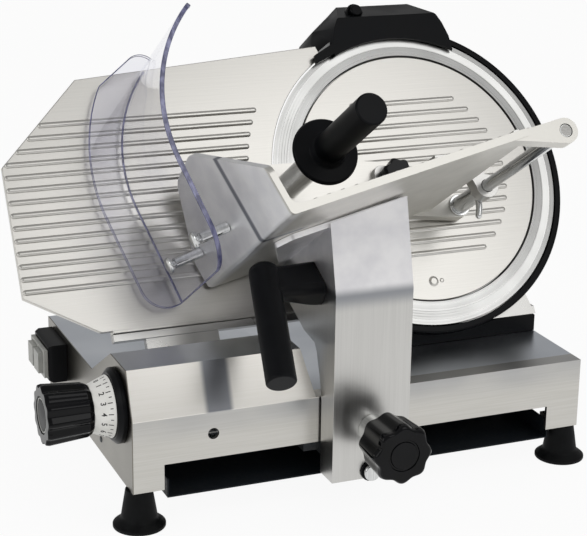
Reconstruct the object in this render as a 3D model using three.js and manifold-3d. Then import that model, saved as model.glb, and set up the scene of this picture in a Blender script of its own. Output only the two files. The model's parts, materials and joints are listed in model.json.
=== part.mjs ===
// Gravity-feed meat slicer with an inclined 300 mm blade, built as an assembly of separate pieces.
// Millimetres. X runs along the carriage stroke, Y away from the operator, Z up.
// Pieces that follow the blade are drawn in the blade frame: u along X, v up the blade plane,
// w square to it and towards the operator, with w = 0 on the cutting plane.

import * as THREE from 'three';
import { mergeVertices } from 'three/addons/utils/BufferGeometryUtils.js';
import Module from 'manifold-3d';

const wasm = await Module();
wasm.setup();

// Driving dimensions
const degree = Math.PI / 180;
const clearance = 0.3;
const overrun = 3;
const fineSides = 60;
const roundSides = 20;
const smallSides = 8;
const filletSteps = 4;

const plane = { x: 107.2, y: 158.6, z: 253.1, tiltAngle: 31.66, rimDepth: 150 };

const blade = {
  radius: 150, edge: 0.8, bevelWidth: 22.6, bevelRise: 2, recess: 5, depth: 10, backInset: 18, backTaper: 1.5,
  holeRadius: 24, boltCircle: 38, boltHole: 3.4, bolts: 4,
};

const clamp = { inner: 30, outer: 46, thickness: 3, screwRadius: 3 };

const cover = {
  gap: 1.5, thickness: 2, rise: 1.2, ribEdge: 38, ribPitch: 12, ribWidth: 5, ribRise: 1.4, ribInset: 28.9,
  bossRadius: 9, bossDepth: 3.4, stopU: -7.2, stopInset: 19.2, stopRadius: 5.5, stopRise: 1.6,
  stopSmallRadius: 2.6, stopSmallShift: 9,
};

const ring = { gap: 1.6, width: 6.4, front: 0.5, startAngle: -116, endAngle: 66 };

const base = {
  left: -238.2, right: 208, depth: 284.2, underside: 36, top: 103.3, wall: 3.5,
  cutLeft: -209.1, cutRight: 173.7, cutTop: 59.8, holeX: -163.6, holeZ: 82.6, holeRadius: 5.2,
  padLength: 26, padHeight: 8, postRadius: 6, postInset: 42, postFrontY: 136, postRearInset: 22,
};

const hump = {
  slopeDepth: 16.9, crest: 145, crestDepth: 62.8, backDepth: 125.6, rearTop: 108, endFoot: -66.5, endLean: 9,
};

const foot = {
  radius: 23.6, rim: 3, neck: 16.5, neckHeight: 8.5, topRadius: 12, insetX: 9.5, insetY: 13, stud: 4,
};

const pan = {
  left: -204, right: 181, front: 8, floor: 24, sheet: 1.5, wallTop: 42, screwRadius: 5, screwRise: 2.4,
};

const stand = {
  front: -12, plate: 8, left: -62, right: 102.8, shoulderRise: 33, shoulderIn: 9, footTop: 120.5, footPlate: 6.5,
  footFront: 89, footRear: 168, archAngle: 100, gusset: 7, gussetRise: 70, rimShare: 0.994,
};

const riser = { left: 44, front: 88.2, rear: 160 };

const drive = {
  pulleyRadius: 52, motorPulleyRadius: 17, motorU: 84, motorV: -18, beltFront: -20, beltBack: -37, beltThickness: 3,
  housingGap: 7, housingWall: 4.5, housingBack: -55, carrierThickness: 7.7, flangeRadius: 56, flangeThickness: 5,
  grooveDepth: 1.6, shaftRadius: 6, shaftReach: 12,
};

const spindle = { radius: 12.5, bore: 5.3, front: -8, flangeRadius: 24, flangeThickness: 5 };

const bearing = { outer: 26, front: -12.5, back: -46 };

const motor = { radius: 47, length: 78, boss: 22, bossLength: 6 };

const motorCover = {
  left: 24, right: 146, low: -76, high: 44, length: 88, wall: 3, slots: 6, slotPitch: 14, slotWidth: 5,
  slotShare: 0.7, radius: 14,
};

const coverKnob = { radius: 17, length: 18, lobes: 6, lobeDepth: 1.8, rodRadius: 4.7 };

const deflector = { thickness: 1.5, gap: 3.4, overlap: 7, left: -128, high: 92, low: -92 };

const gauge = {
  thickness: 5, gap: 1.5, topLeftU: -328, topLeftV: 124, sideU: -409, sideTopV: 44, sideLowV: -79, lowU: -343,
  lowV: -118, topRightU: -80, topRightDrop: 6.8, endDrop: 19, ribs: 14, firstRibV: 81.6, ribPitch: 11.95, ribWidth: 4.6,
  ribRise: 1.5, ribMargin: 25, ribInset: 2.5, lipDepth: 12, lipHeight: 4,
  travel: 15, railLeft: -332, railRight: -112, railHeight: 7, railFront: -3, railBack: -12,
  webLeft: -302, webRight: -232, webFront: -4, webBack: -12, webLow: -160, blockLow: -184, blockFront: 0,
  blockBack: -16, rodV: -172, rodInset: 14, rodRadius: 4, rodFront: 41, rodBack: -62, holderThickness: 8,
  holderHeight: 68, holderLow: 8, slotGap: 1.5,
};

const dial = {
  y: 42.6, z: 104, ringRadius: 34, ringLength: 7.6, ringBore: 9, scaleLargeRadius: 28.3, scaleSmallRadius: 21.4,
  scaleLength: 18, knobLength: 42, knobNeck: 22.3, knobRadius: 27.4, knobLobes: 12, knobLobeDepth: 1.5, knobEdge: 3,
  capRadius: 16, capDepth: 1.2, shaftRadius: 6, shaftEnd: -190, camX: -216, camThickness: 8, camRadius: 12,
  camTurnAngle: 330, rollerRadius: 4, rollerGap: 0.5, holeRadius: 7,
};

const switchBox = {
  rearInset: 72.2, depth: 56, low: 64.5, height: 38, projection: 18, chamfer: 4, pocketDepth: 12,
  bezelInset: 5, bezelThickness: 4, buttonDepth: 18, buttonHeight: 21, buttonGap: 4, buttonRise: 4.5,
  buttonReach: 9, windowGap: 0.6,
};

const gland = {
  x: -150, z: 72, bodyRadius: 11, bodyLength: 9, neckRadius: 7, neckLength: 9, bore: 4, holeRadius: 6,
};

const rail = {
  y: 56, z: 52, radius: 9, barY: 104, barWidth: 12, supportLength: 18, supportFront: 42, supportRear: 116,
  supportLow: 40, supportHigh: 66,
};

const carriage = {
  centre: -25.2, halfWidth: 37.2, front: -30, wall: 4, low: 31, bendHeight: 207, leanAngle: 13.5, sideRear: -3,
  topShare: 1.2, slotWidth: 12.5, slotTop: 46,
  sideEdge: [[-3, 100], [1, 118], [10, 143], [15, 149.5], [40, 153.5], [57, 161], [79, 170], [97, 200]],
  stemHalfWidth: 29, stemFront: -25.4, stemRear: -8, stemTop: 100, tongueHalfWidth: 26,
  tongueLow: 36, tongueHigh: 50, blockFront: 30, blockRear: 116, blockHalfLength: 40, blockLow: 38, blockHigh: 66,
  pinZ: 38.3, pinHead: 8, pinEdge: 1, pinHeadLength: 5, pinRadius: 5.6, washerRadius: 9.6,
  washerThickness: 2,
};

const padPlate = {
  thickness: 5, left: 20, leftFront: 138, front: 152, right: 148, rear: 24, rearLeft: 66, chamfer: 12,
};

const armKnob = {
  z: 80, radius: 28, neck: 26, lobes: 8, lobeDepth: 2.4, length: 41, bossRadius: 13, bossLength: 26, studRadius: 5,
  recessRadius: 13.5, recessDepth: 1, edge: 4,
};

const tray = {
  back: 5, front: 240, slopeAngle: 12.2, cornerU: -236.7, cornerV: -89.6, length: 240.5, thickness: 7,
  wallAngle: 20, wallThickness: 5.5, cornerRadius: 15, innerRadius: 9, ribPitch: 13, ribWidth: 4.4,
  ribRise: 1.5, ribStart: 27, ribMargin: 15, frontHeight: 43, peakHeight: 101, peakW: 118, kneeW: 62,
  kneeHeight: 93, backHeight: 27, frontRadius: 9, peakRadius: 22, kneeRadius: 30, lugRadius: 11.6,
  lugThickness: 13.4, lugInset: 0.6, lugReach: 24,
};

const pusherRod = { reach: 29.18, drop: 5.72, radius: 6 };

const strip = {
  from: 20, to: 222, width: 6, height: 4.5, inset: 3, screwRadius: 2.6, screwRise: 1.4, screwInset: 50,
  shank: 1.5,
};

const guard = {
  thickness: 4, back: 8, front: 157, startU: -265, startV: -101, leanAngle: 16.2, straight: 95.6, bendRadius: 141.6,
  bendAngle: 63, flangeWidth: 32, cornerRadius: 24, topRadius: 16, curveSteps: 14, screwV: -69, screwW: 114,
  frontRound: 37, topRound: 20, flangeAngle: 150, cornerSteps: 6, sleeve: 32, headRound: 1.5,
  screwSpacing: 82, screwRadius: 3, headRadius: 7.6, headHeight: 4, sleeveRadius: 5, holeRadius: 3.4,
};

const handle = {
  u: -222.5, w: 114, radius: 13.3, top: -106, low: -209, lowU: -239, lowW: 150, rootFrontV: -127,
  rootFrontW: 124, rootTopV: -95,
  rootTopW: 102, rootLowV: -138, rootLowW: 102, rootBackV: -112, rootBackW: 66, endTopV: -102, endDepth: 11,
  endHeight: 30, endRound: 9,
};

const pusher = {
  sleeveRadius: 8.6, sleeveBack: 19.4, eyeBack: 69.5, eyeLength: 14, eyeRadius: 11.6, collarRadius: 10.8,
  collarLength: 2.2, plateBack: 32, plateThickness: 5, plateHigh: 52.7, plateMidU: -101.1, plateMidV: 48.5,
  plateLowU: -58.1, plateLowV: 42.9, plateEndU: -38.1, plateEndV: 36.1, plateRight: -26.1, wallGap: 4,
  tableGap: 1, spikeMargin: 42, spikeRows: 3, spikeRadius: 2.2, spikeLength: 4, spikePitch: 24,
  spikeRowPitch: 16, spikeInset: 30, spikeHeight: 14, armThickness: 7, armLeft: -94.1, armLow: 14.2,
  armHigh: 34.2, reachIn: -17, linkLeft: -48.1, linkRight: -31.1,
  gripU: -179.1, gripV: 31.2, gripRadius: 14.3, gripEnd: 244, discW: 127, discThickness: 9, discRadius: 31, discRim: 3,
  hubRadius: 19, spacerRadius: 12.4, boltRadius: 4, pinRadius: 3.2, pinLength: 18, pinW: 63.5, pinU: -4.1,
};

const plateKnob = {
  u: -76.1, v: 27.2, radius: 15.5, neck: 14, length: 17, lobes: 7, lobeDepth: 1.8, studRadius: 3.5, edge: 2,
};

const sharpener = {
  front: 8, waist: -20, rear: -60, lipRise: -6, lipThickness: 4.4, frontBottom: 66, frontShoulderRise: -7,
  frontShoulder: 64, frontSideRise: 8, frontSide: 59.5, frontTopRise: 18.5, frontTop: 55, rearBottom: 74,
  rearShoulderRise: 4, rearShoulder: 76, rearSideRise: 16, rearSide: 71, rearCornerRise: 31, rearCorner: 52,
  rearTopRise: 41, rearTop: 40, topEdge: 1.6, skirtRise: 9.5, wall: 3, cavityTopRise: 26, cavityHalf: 38,
  cavityFront: -14, bossHalf: 16, bossLowRise: -38, bossHighRise: -2, bossFront: -20.2, bossBack: -50,
  postRadius: 7, postW: -36, postLowRise: -34, buttonU: -30, buttonRise: 27.2, buttonFront: 5.5,
  buttonLength: 9.5, buttonRadius: 6.2, buttonGap: 0.6, buttonTravel: 5, buttonEdge: 1.2, collarRadius: 8.8,
  collarFront: -0.5, collarBack: -21, stemRadius: 3, stemLength: 9, stoneRadius: 13.5, stoneThickness: 8,
  stoneU: 23, stoneRise: 11.5, stoneW: -21, finReach: 20, finDrop: 12, finThickness: 10, finTopRise: -7,
  finLowRise: -28,
};

// Sizes that follow the blade: its centre rises with its radius, so the rim keeps its height over the base
const bladeLift = blade.radius - plane.rimDepth;
const bevelRadius = blade.radius - blade.bevelWidth;
const coverRadius = bevelRadius - cover.gap;
const ringInner = blade.radius + ring.gap;
const ringOuter = ringInner + ring.width;
const switchFront = base.depth - switchBox.rearInset;

// Finishes
const finish = (color, roughness, metalness, opacity = 1) =>
  new THREE.MeshStandardMaterial({
    color, roughness, metalness, opacity, transparent: opacity < 1, flatShading: true,
  });
const satinAlloy = finish('#b9bab8', 0.38, 0.9);
const brushedSheet = finish('#a9a9a3', 0.4, 0.9);
const polishedAlloy = finish('#c9cbcc', 0.18, 1);
const polishedSteel = finish('#d4d6d8', 0.14, 1);
const darkSteel = finish('#4a4c4f', 0.45, 0.9);
const blackPlastic = finish('#17181b', 0.38, 0);
const blackGloss = finish('#101114', 0.22, 0);
const blackRubber = finish('#141518', 0.6, 0);
const blackPaint = finish('#0d0f12', 0.45, 0.1);
const whitePlastic = finish('#f0efec', 0.4, 0);
const greyPlastic = finish('#a7a7a2', 0.5, 0);
const clearSheet = finish('#dfe2f2', 0.06, 0, 0.3);
const bronze = finish('#9b7440', 0.4, 0.9);
const stone = finish('#8b6f66', 0.9, 0);
const castIron = finish('#5a5d60', 0.6, 0.6);

// Solid helpers
function cleaned(geometry) {
  const bare = geometry.clone();
  bare.deleteAttribute('normal');
  bare.deleteAttribute('uv');
  const merged = mergeVertices(bare, clearance / 1000);
  const index = merged.index.array;
  const kept = [];
  for (let i = 0; i < index.length; i += 3) {
    const [a, b, c] = [index[i], index[i + 1], index[i + 2]];
    if (a !== b && b !== c && a !== c) kept.push(a, b, c);
  }
  merged.setIndex(signedVolume(merged.attributes.position, kept) < 0 ? kept.reverse() : kept);
  return merged;
}

function signedVolume(position, index) {
  const [a, b, c] = [new THREE.Vector3(), new THREE.Vector3(), new THREE.Vector3()];
  let total = 0;
  for (let i = 0; i < index.length; i += 3) {
    a.fromBufferAttribute(position, index[i]);
    b.fromBufferAttribute(position, index[i + 1]);
    c.fromBufferAttribute(position, index[i + 2]);
    total += a.dot(b.cross(c));
  }
  return total;
}

function solidOf(geometry) {
  const closed = cleaned(geometry);
  const vertProperties = new Float32Array(closed.attributes.position.array);
  const triVerts = new Uint32Array(closed.index.array);
  return new wasm.Manifold(new wasm.Mesh({ numProp: 3, vertProperties, triVerts }));
}

function geometryOf(solid) {
  const mesh = solid.getMesh();
  const geometry = new THREE.BufferGeometry();
  geometry.setAttribute('position', new THREE.BufferAttribute(new Float32Array(mesh.vertProperties), mesh.numProp));
  geometry.setIndex(Array.from(mesh.triVerts));
  return geometry;
}

function join(...geometries) {
  return geometryOf(geometries.map(solidOf).reduce((whole, piece) => whole.add(piece)));
}

function cut(geometry, ...tools) {
  return geometryOf(tools.map(solidOf).reduce((whole, tool) => whole.subtract(tool), solidOf(geometry)));
}

function common(geometry, other) {
  return geometryOf(solidOf(geometry).intersect(solidOf(other)));
}

// A block between opposite corners
function block(x0, x1, y0, y1, z0, z1) {
  const geometry = new THREE.BoxGeometry(Math.abs(x1 - x0), Math.abs(y1 - y0), Math.abs(z1 - z0));
  return geometry.translate((x0 + x1) / 2, (y0 + y1) / 2, (z0 + z1) / 2);
}

// A round bar between two points
function bar(radius, from, to, sides = roundSides, endRadius = radius) {
  const start = new THREE.Vector3(...from);
  const end = new THREE.Vector3(...to);
  const along = end.clone().sub(start);
  const geometry = new THREE.CylinderGeometry(endRadius, radius, along.length(), sides);
  geometry.applyQuaternion(new THREE.Quaternion().setFromUnitVectors(new THREE.Vector3(0, 1, 0), along.normalize()));
  const middle = start.add(end).multiplyScalar(1 / 2);
  return geometry.translate(middle.x, middle.y, middle.z);
}

// A turned piece about Z from [radius, z] points
function turned(profile, sides = roundSides) {
  const points = profile.map(([radius, height]) => new THREE.Vector2(radius, height));
  const onAxis = points[0].x === 0 && points[points.length - 1].x === 0;
  if (!onAxis) points.push(points[0].clone());
  return new THREE.LatheGeometry(points, sides).rotateX(Math.PI / 2);
}

// A flat outline in X and Y carried from z0 to z1
function slab(outline, z0, z1, holes = []) {
  const shape = new THREE.Shape(outline.map(([x, y]) => new THREE.Vector2(x, y)));
  for (const hole of holes) shape.holes.push(new THREE.Path(hole.map(([x, y]) => new THREE.Vector2(x, y))));
  const geometry = new THREE.ExtrudeGeometry(shape, { depth: z1 - z0, bevelEnabled: false, steps: 1 });
  return geometry.translate(0, 0, z0);
}

// An outline in Y and Z carried along X
function slabAlongX(outline, x0, x1) {
  const turn = new THREE.Matrix4().makeBasis(
    new THREE.Vector3(0, 1, 0), new THREE.Vector3(0, 0, 1), new THREE.Vector3(1, 0, 0),
  );
  return slab(outline, x0, x1).applyMatrix4(turn);
}

// An outline in X and Z carried along Y
function slabAlongY(outline, y0, y1) {
  return slab(outline, -y1, -y0).rotateX(Math.PI / 2);
}

// Closed skin through sections with the same number of [x, y, z] points
function lofted(sections) {
  const count = sections[0].length;
  const position = new THREE.Float32BufferAttribute(sections.flat(2), 3);
  const index = [];
  for (let s = 0; s + 1 < sections.length; s++) {
    for (let k = 0; k < count; k++) {
      const [a, b] = [s * count + k, s * count + ((k + 1) % count)];
      index.push(a, b, b + count, a, b + count, a + count);
    }
  }
  const last = (sections.length - 1) * count;
  for (const [a, b, c] of capFaces(sections[0])) index.push(c, b, a);
  for (const [a, b, c] of capFaces(sections[sections.length - 1])) index.push(last + a, last + b, last + c);
  const geometry = new THREE.BufferGeometry();
  geometry.setAttribute('position', position);
  geometry.setIndex(index);
  return geometry;
}

// Triangles of a flat section, wound the way its points run
function capFaces(section) {
  const points = section.map((point) => new THREE.Vector3(...point));
  const normal = new THREE.Vector3();
  points.forEach((point, k) => normal.add(point.clone().cross(points[(k + 1) % points.length])));
  const turn = new THREE.Quaternion().setFromUnitVectors(normal.normalize(), new THREE.Vector3(0, 0, 1));
  const flat = points.map((point) => point.applyQuaternion(turn)).map(({ x, y }) => new THREE.Vector2(x, y));
  return THREE.ShapeUtils.triangulateShape(flat, []);
}

// A polygon whose corners are rounded by the matching radii
function rounded(points, radii) {
  return points.flatMap((point, k) => {
    const radius = Array.isArray(radii) ? radii[k] : radii;
    if (!radius) return [point];
    const corner = new THREE.Vector2(...point);
    const before = new THREE.Vector2(...points[(k + points.length - 1) % points.length]).sub(corner).normalize();
    const after = new THREE.Vector2(...points[(k + 1) % points.length]).sub(corner).normalize();
    const half = Math.acos(THREE.MathUtils.clamp(before.dot(after), -1, 1)) / 2;
    const reach = radius / Math.tan(half);
    const centre = before.clone().add(after).normalize().multiplyScalar(radius / Math.sin(half)).add(corner);
    const from = before.multiplyScalar(reach).add(corner).sub(centre).angle();
    const to = after.multiplyScalar(reach).add(corner).sub(centre).angle();
    const turn = THREE.MathUtils.euclideanModulo(to - from + Math.PI, 2 * Math.PI) - Math.PI;
    return Array.from({ length: filletSteps + 1 }, (_, step) => {
      const angle = from + (turn * step) / filletSteps;
      return [centre.x + radius * Math.cos(angle), centre.y + radius * Math.sin(angle)];
    });
  });
}

// Points of an arc, angles in degrees
function arc(radius, fromAngle, toAngle, steps, x = 0, y = 0) {
  return Array.from({ length: steps + 1 }, (_, step) => {
    const angle = (fromAngle + ((toAngle - fromAngle) * step) / steps) * degree;
    return [x + radius * Math.cos(angle), y + radius * Math.sin(angle)];
  });
}

// A raised ridge with sloping sides and ends, running along X, as wide as stated where it leaves a face at height z
function ridge(x0, x1, y, width, rise, z) {
  const level = (reach, inset, height) => [
    [x0 + inset, y - reach, height], [x1 - inset, y - reach, height],
    [x1 - inset, y + reach, height], [x0 + inset, y + reach, height],
  ];
  return lofted([level((width * 3) / 4, -rise, z - rise), level(width / 4, rise, z + rise)]);
}

// A lobed knob about Z: neck at z = 0, widest near the end, with a rounded front edge
function lobedKnob(knob, radius = knob.radius) {
  const steps = knob.lobes * 6;
  const section = (size, height, depth) => Array.from({ length: steps }, (_, k) => {
    const angle = (k / steps) * 2 * Math.PI;
    const reach = size - depth * (1 - Math.cos(angle * knob.lobes)) / 2;
    return [reach * Math.cos(angle), reach * Math.sin(angle), height];
  });
  return lofted([
    section(knob.neck, 0, knob.lobeDepth),
    section(radius, knob.length - knob.edge, knob.lobeDepth),
    section(radius - knob.edge / 2, knob.length, knob.lobeDepth),
  ]);
}

// Frames
const planeMatrix = new THREE.Matrix4()
  .makeTranslation(plane.x, plane.y, plane.z)
  .multiply(new THREE.Matrix4().makeRotationX(Math.PI / 2 - plane.tiltAngle * degree));
const tableMatrix = new THREE.Matrix4()
  .makeTranslation(tray.cornerU, tray.cornerV, 0)
  .multiply(new THREE.Matrix4().makeRotationZ(tray.slopeAngle * degree));
const inMachine = (geometry) => geometry.clone().applyMatrix4(planeMatrix);
const inPlane = (geometry) => geometry.clone().applyMatrix4(planeMatrix.clone().invert());
const onTable = (geometry) => geometry.clone().applyMatrix4(tableMatrix);
const onBlade = (geometry) => geometry.clone().translate(0, bladeLift, 0);

// Axis of the pusher's rod beyond the tray's end, from which the pusher's pieces are placed
const rodAxis = new THREE.Vector3(tray.length + pusherRod.reach, -pusherRod.drop, 0).applyMatrix4(tableMatrix);
const besideRod = (u) => rodAxis.x + u;
const aboveRod = (v) => rodAxis.y + v;
const machinePoint = (u, v, w) => new THREE.Vector3(u, v, w).applyMatrix4(planeMatrix);

// Base
const humpProfile = (inset) => [
  [inset, base.top - base.wall],
  [inset, base.top],
  [hump.slopeDepth + inset, hump.crest - inset],
  [hump.crestDepth - inset / 2, hump.crest - inset],
  [hump.backDepth - inset / 2, hump.rearTop - inset],
  [base.depth - inset, hump.rearTop - inset],
  [base.depth - inset, base.top - base.wall],
];

function humpSolid(inset) {
  const whole = slabAlongX(humpProfile(inset), base.left + inset, hump.endFoot - inset);
  const reach = hump.crest - base.top;
  const end = slabAlongY([
    [hump.endFoot - inset, base.top],
    [hump.endFoot - inset - hump.endLean - hump.endLean, base.top + reach + reach],
    [hump.endFoot + reach, base.top + reach + reach],
    [hump.endFoot + reach, base.top],
  ], -overrun, base.depth + overrun);
  return cut(whole, end);
}

const postPlaces = [base.left + base.postInset, base.right - base.postInset]
  .flatMap((x) => [base.postFrontY, base.depth - base.postRearInset].map((y) => [x, y]));
const footPlaces = [base.left + foot.insetX, base.right - foot.insetX]
  .flatMap((x) => [foot.insetY, base.depth - foot.insetY].map((y) => [x, y]));

function baseHousing() {
  const outer = join(
    block(base.left, base.right, 0, base.depth, base.underside, base.top),
    humpSolid(0),
  );
  const inner = join(
    block(base.left + base.wall, base.right - base.wall, base.wall, base.depth - base.wall,
      base.underside - overrun, base.top - base.wall),
    humpSolid(base.wall),
  );
  const pads = footPlaces.map(([x, y]) => {
    const outX = x < 0 ? base.left : base.right;
    const inX = outX - Math.sign(x) * base.padLength;
    const outY = y < base.depth / 2 ? 0 : base.depth;
    const inY = outY === 0 ? base.padLength : base.depth - base.padLength;
    return block(Math.min(inX, outX), Math.max(inX, outX), Math.min(inY, outY), Math.max(inY, outY),
      base.underside, base.underside + base.padHeight);
  });
  const posts = postPlaces.map(([x, y]) => bar(base.postRadius, [x, y, pan.floor + pan.sheet + clearance],
    [x, y, (x < hump.endFoot ? hump.rearTop : base.top) - base.wall / 2], smallSides));
  const railEnds = [-1, 1].map((side) => {
    const wallFace = side < 0 ? base.left + base.wall / 2 : base.right - base.wall / 2;
    return railSupport(wallFace, wallFace - side * (rail.supportLength + base.wall / 2));
  });
  const holders = [gauge.rodFront - gauge.holderThickness, gauge.rodBack].map((w) => common(
    inner,
    inMachine(block(gauge.webLeft - gauge.rodInset / 2, gauge.webRight + gauge.rodInset / 2,
      gauge.rodV - gauge.holderLow, gauge.rodV + gauge.holderHeight, w, w + gauge.holderThickness)),
  ));
  const shell = join(cut(outer, inner), ...pads, ...posts, ...holders, ...railEnds);
  const cutOut = block(base.cutLeft, base.cutRight, -overrun, base.wall + overrun,
    base.underside - overrun, base.cutTop);
  const drain = bar(base.holeRadius, [base.holeX, -overrun, base.holeZ], [base.holeX, base.wall + overrun, base.holeZ]);
  const dialHole = bar(dial.holeRadius, [base.left - overrun, dial.y, dial.z],
    [base.left + base.wall + overrun, dial.y, dial.z]);
  const glandHole = bar(gland.holeRadius, [gland.x, base.depth - base.wall - overrun, gland.z],
    [gland.x, base.depth + overrun, gland.z]);
  const wireHole = bar(gland.holeRadius,
    [base.left - overrun, switchFront + switchBox.depth / 2, switchBox.low + switchBox.height / 2],
    [base.left + base.wall + overrun, switchFront + switchBox.depth / 2, switchBox.low + switchBox.height / 2]);
  const gaugeSlot = inMachine(block(gauge.webLeft - gauge.slotGap, gauge.webRight + gauge.slotGap,
    gauge.webLow, gauge.lowV - gauge.railHeight - gauge.lipHeight,
    gauge.webBack - gauge.travel - gauge.slotGap, gauge.webFront + gauge.slotGap));
  const guideBores = gaugeRodPlaces.map((u) => inMachine(bar(gauge.rodRadius + clearance,
    [u, gauge.rodV, gauge.rodBack + clearance * 2], [u, gauge.rodV, gauge.rodFront - clearance * 2], smallSides)));
  return cut(shell, cutOut, drain, dialHole, glandHole, wireHole, gaugeSlot, ...guideBores, ...footStudHoles());
}

function footStudHoles() {
  return footPlaces.map(([x, y]) => bar(foot.stud + clearance, [x, y, base.underside - overrun],
    [x, y, base.underside + base.padHeight - overrun], smallSides));
}

function rubberFoot() {
  const top = base.underside - clearance;
  return join(
    turned([
      [0, 0], [foot.radius, 0], [foot.radius, foot.rim], [foot.neck, foot.neckHeight], [foot.topRadius, top], [0, top],
    ]),
    bar(foot.stud, [0, 0, foot.rim], [0, 0, top + base.padHeight - overrun * 2], smallSides),
  );
}

function bottomPan() {
  const rear = base.depth - base.wall - clearance;
  const floor = block(pan.left, pan.right, pan.front, rear, pan.floor, pan.floor + pan.sheet);
  const walls = [
    block(pan.left, pan.left + pan.sheet, pan.front, rear, pan.floor, pan.wallTop),
    block(pan.right - pan.sheet, pan.right, pan.front, rear, pan.floor, pan.wallTop),
    block(pan.left, pan.right, rear - pan.sheet, rear, pan.floor, pan.wallTop - clearance * 2),
  ];
  const heads = postPlaces.map(([x, y]) => bar(pan.screwRadius, [x, y, pan.floor + clearance],
    [x, y, pan.floor - pan.screwRise], smallSides, pan.screwRadius / 2));
  return join(floor, ...walls, ...heads);
}

// Carriage guides
function slideRod() {
  const ends = base.wall + clearance + rail.supportLength / 2;
  return bar(rail.radius, [base.left + ends, rail.y, rail.z], [base.right - ends, rail.y, rail.z]);
}

function guideBar() {
  const ends = base.wall + clearance + rail.supportLength / 2;
  const half = rail.barWidth / 2;
  return block(base.left + ends, base.right - ends, rail.barY - half, rail.barY + half, rail.z - half, rail.z + half);
}

function railSupport(outside, inside) {
  const body = block(Math.min(outside, inside), Math.max(outside, inside), rail.supportFront, rail.supportRear,
    rail.supportLow, rail.supportHigh);
  const middle = (outside + inside) / 2 - Math.sign(inside - outside) * clearance;
  const far = inside + Math.sign(inside - outside) * overrun;
  const half = rail.barWidth / 2 + clearance;
  return cut(
    body,
    bar(rail.radius + clearance, [middle, rail.y, rail.z], [far, rail.y, rail.z]),
    block(Math.min(middle, far), Math.max(middle, far), rail.barY - half, rail.barY + half, rail.z - half, rail.z + half),
  );
}

// Stand, riser and ring guard
function standCasting() {
  const low = standFootV();
  const arch = arc(ringOuter * stand.rimShare, -50, stand.archAngle, 30, 0, bladeLift);
  const outline = [
    [stand.left, low], [stand.right, low], [stand.right - stand.shoulderIn, low + stand.shoulderRise], ...arch,
    [-drive.flangeRadius / 2, bladeLift + ringInner * stand.rimShare - stand.plate],
    [-drive.flangeRadius, bladeLift + drive.flangeRadius], [stand.left, bladeLift],
  ];
  const back = stand.front - stand.plate;
  const plate = slab(outline, back, stand.front);
  const housing = slab(beltPath(drive.beltThickness + drive.housingGap + drive.housingWall), drive.housingBack, back);
  const boss = onBlade(block(-sharpener.bossHalf, sharpener.bossHalf, rimAt(sharpener.bossLowRise),
    rimAt(sharpener.bossHighRise), sharpener.bossBack, back));
  const footSlab = block(plane.x + stand.left, plane.x + stand.right, stand.footFront, stand.footRear,
    stand.footTop, stand.footTop + stand.footPlate);
  const seat = inPlane(footSlab);
  const webs = [stand.left, stand.right - stand.gusset - stand.shoulderIn].map((u) => inPlane(slabAlongX([
    [stand.footFront + stand.plate, stand.footTop], [stand.footRear, stand.footTop],
    [stand.footFront + stand.plate + stand.gussetRise * Math.tan(plane.tiltAngle * degree), stand.footTop + stand.gussetRise],
  ], plane.x + u, plane.x + u + stand.gusset)));
  const cavity = slab(beltPath(drive.beltThickness + drive.housingGap), drive.housingBack - overrun, overrun);
  const postBore = onBlade(bar(sharpener.postRadius + clearance,
    [0, rimAt(sharpener.postLowRise) - overrun, sharpener.postW], [0, rimAt(sharpener.bossHighRise) + overrun, sharpener.postW]));
  const under = inPlane(block(base.left, base.right + base.depth, -base.depth, base.depth, 0, stand.footTop));
  const inFront = block(base.left, base.right, -base.depth, base.depth, stand.front, base.depth);
  return cut(join(plate, housing, boss, seat, ...webs), cavity, postBore, under, inFront);
}

// Height of the stand's foot measured up the blade plane at its front face
function standFootV() {
  return (stand.footTop - plane.z - stand.front * Math.sin(plane.tiltAngle * degree)) / Math.cos(plane.tiltAngle * degree)
    - overrun;
}

// Outline of the belt run round both pulleys, offset outwards
function beltPath(offset) {
  const span = Math.hypot(drive.motorU, drive.motorV - bladeLift);
  const heading = Math.atan2(drive.motorV - bladeLift, drive.motorU) / degree;
  const [large, small] = [drive.pulleyRadius + offset, drive.motorPulleyRadius + offset];
  const wrap = Math.acos((large - small) / span) / degree;
  return [
    ...arc(large, heading + wrap, heading + 360 - wrap, 28, 0, bladeLift),
    ...arc(small, heading - wrap, heading + wrap, 14, drive.motorU, drive.motorV),
  ];
}

function riserBlock() {
  const body = block(riser.left, base.right - clearance, riser.front, riser.rear, base.top + clearance,
    stand.footTop - clearance);
  return cut(body, inMachine(onBlade(bar(ringOuter + clearance * 2, [0, 0, stand.front], [0, 0, overrun], fineSides))));
}

function ringGuard() {
  const steps = 44;
  const outline = [
    ...arc(ringOuter, ring.startAngle, ring.endAngle, steps),
    ...arc(ringInner, ring.endAngle, ring.startAngle, steps),
  ];
  return slab(outline, stand.front + clearance, ring.front);
}

// Blade and its drive
function bladeDisc() {
  const disc = turned([
    [blade.holeRadius, -blade.recess], [bevelRadius, -blade.recess], [bevelRadius, blade.bevelRise],
    [blade.radius, 0], [blade.radius, -blade.edge], [blade.radius - blade.backInset, -blade.depth + blade.backTaper],
    [drive.flangeRadius, -blade.depth], [blade.holeRadius, -blade.depth],
  ], fineSides);
  return cut(disc, ...boltPlaces().map(([u, v]) =>
    bar(blade.boltHole, [u, v, -blade.depth - overrun], [u, v, overrun], smallSides)));
}

const boltPlaces = () => arc(blade.boltCircle, 45, 315, blade.bolts - 1);

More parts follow.
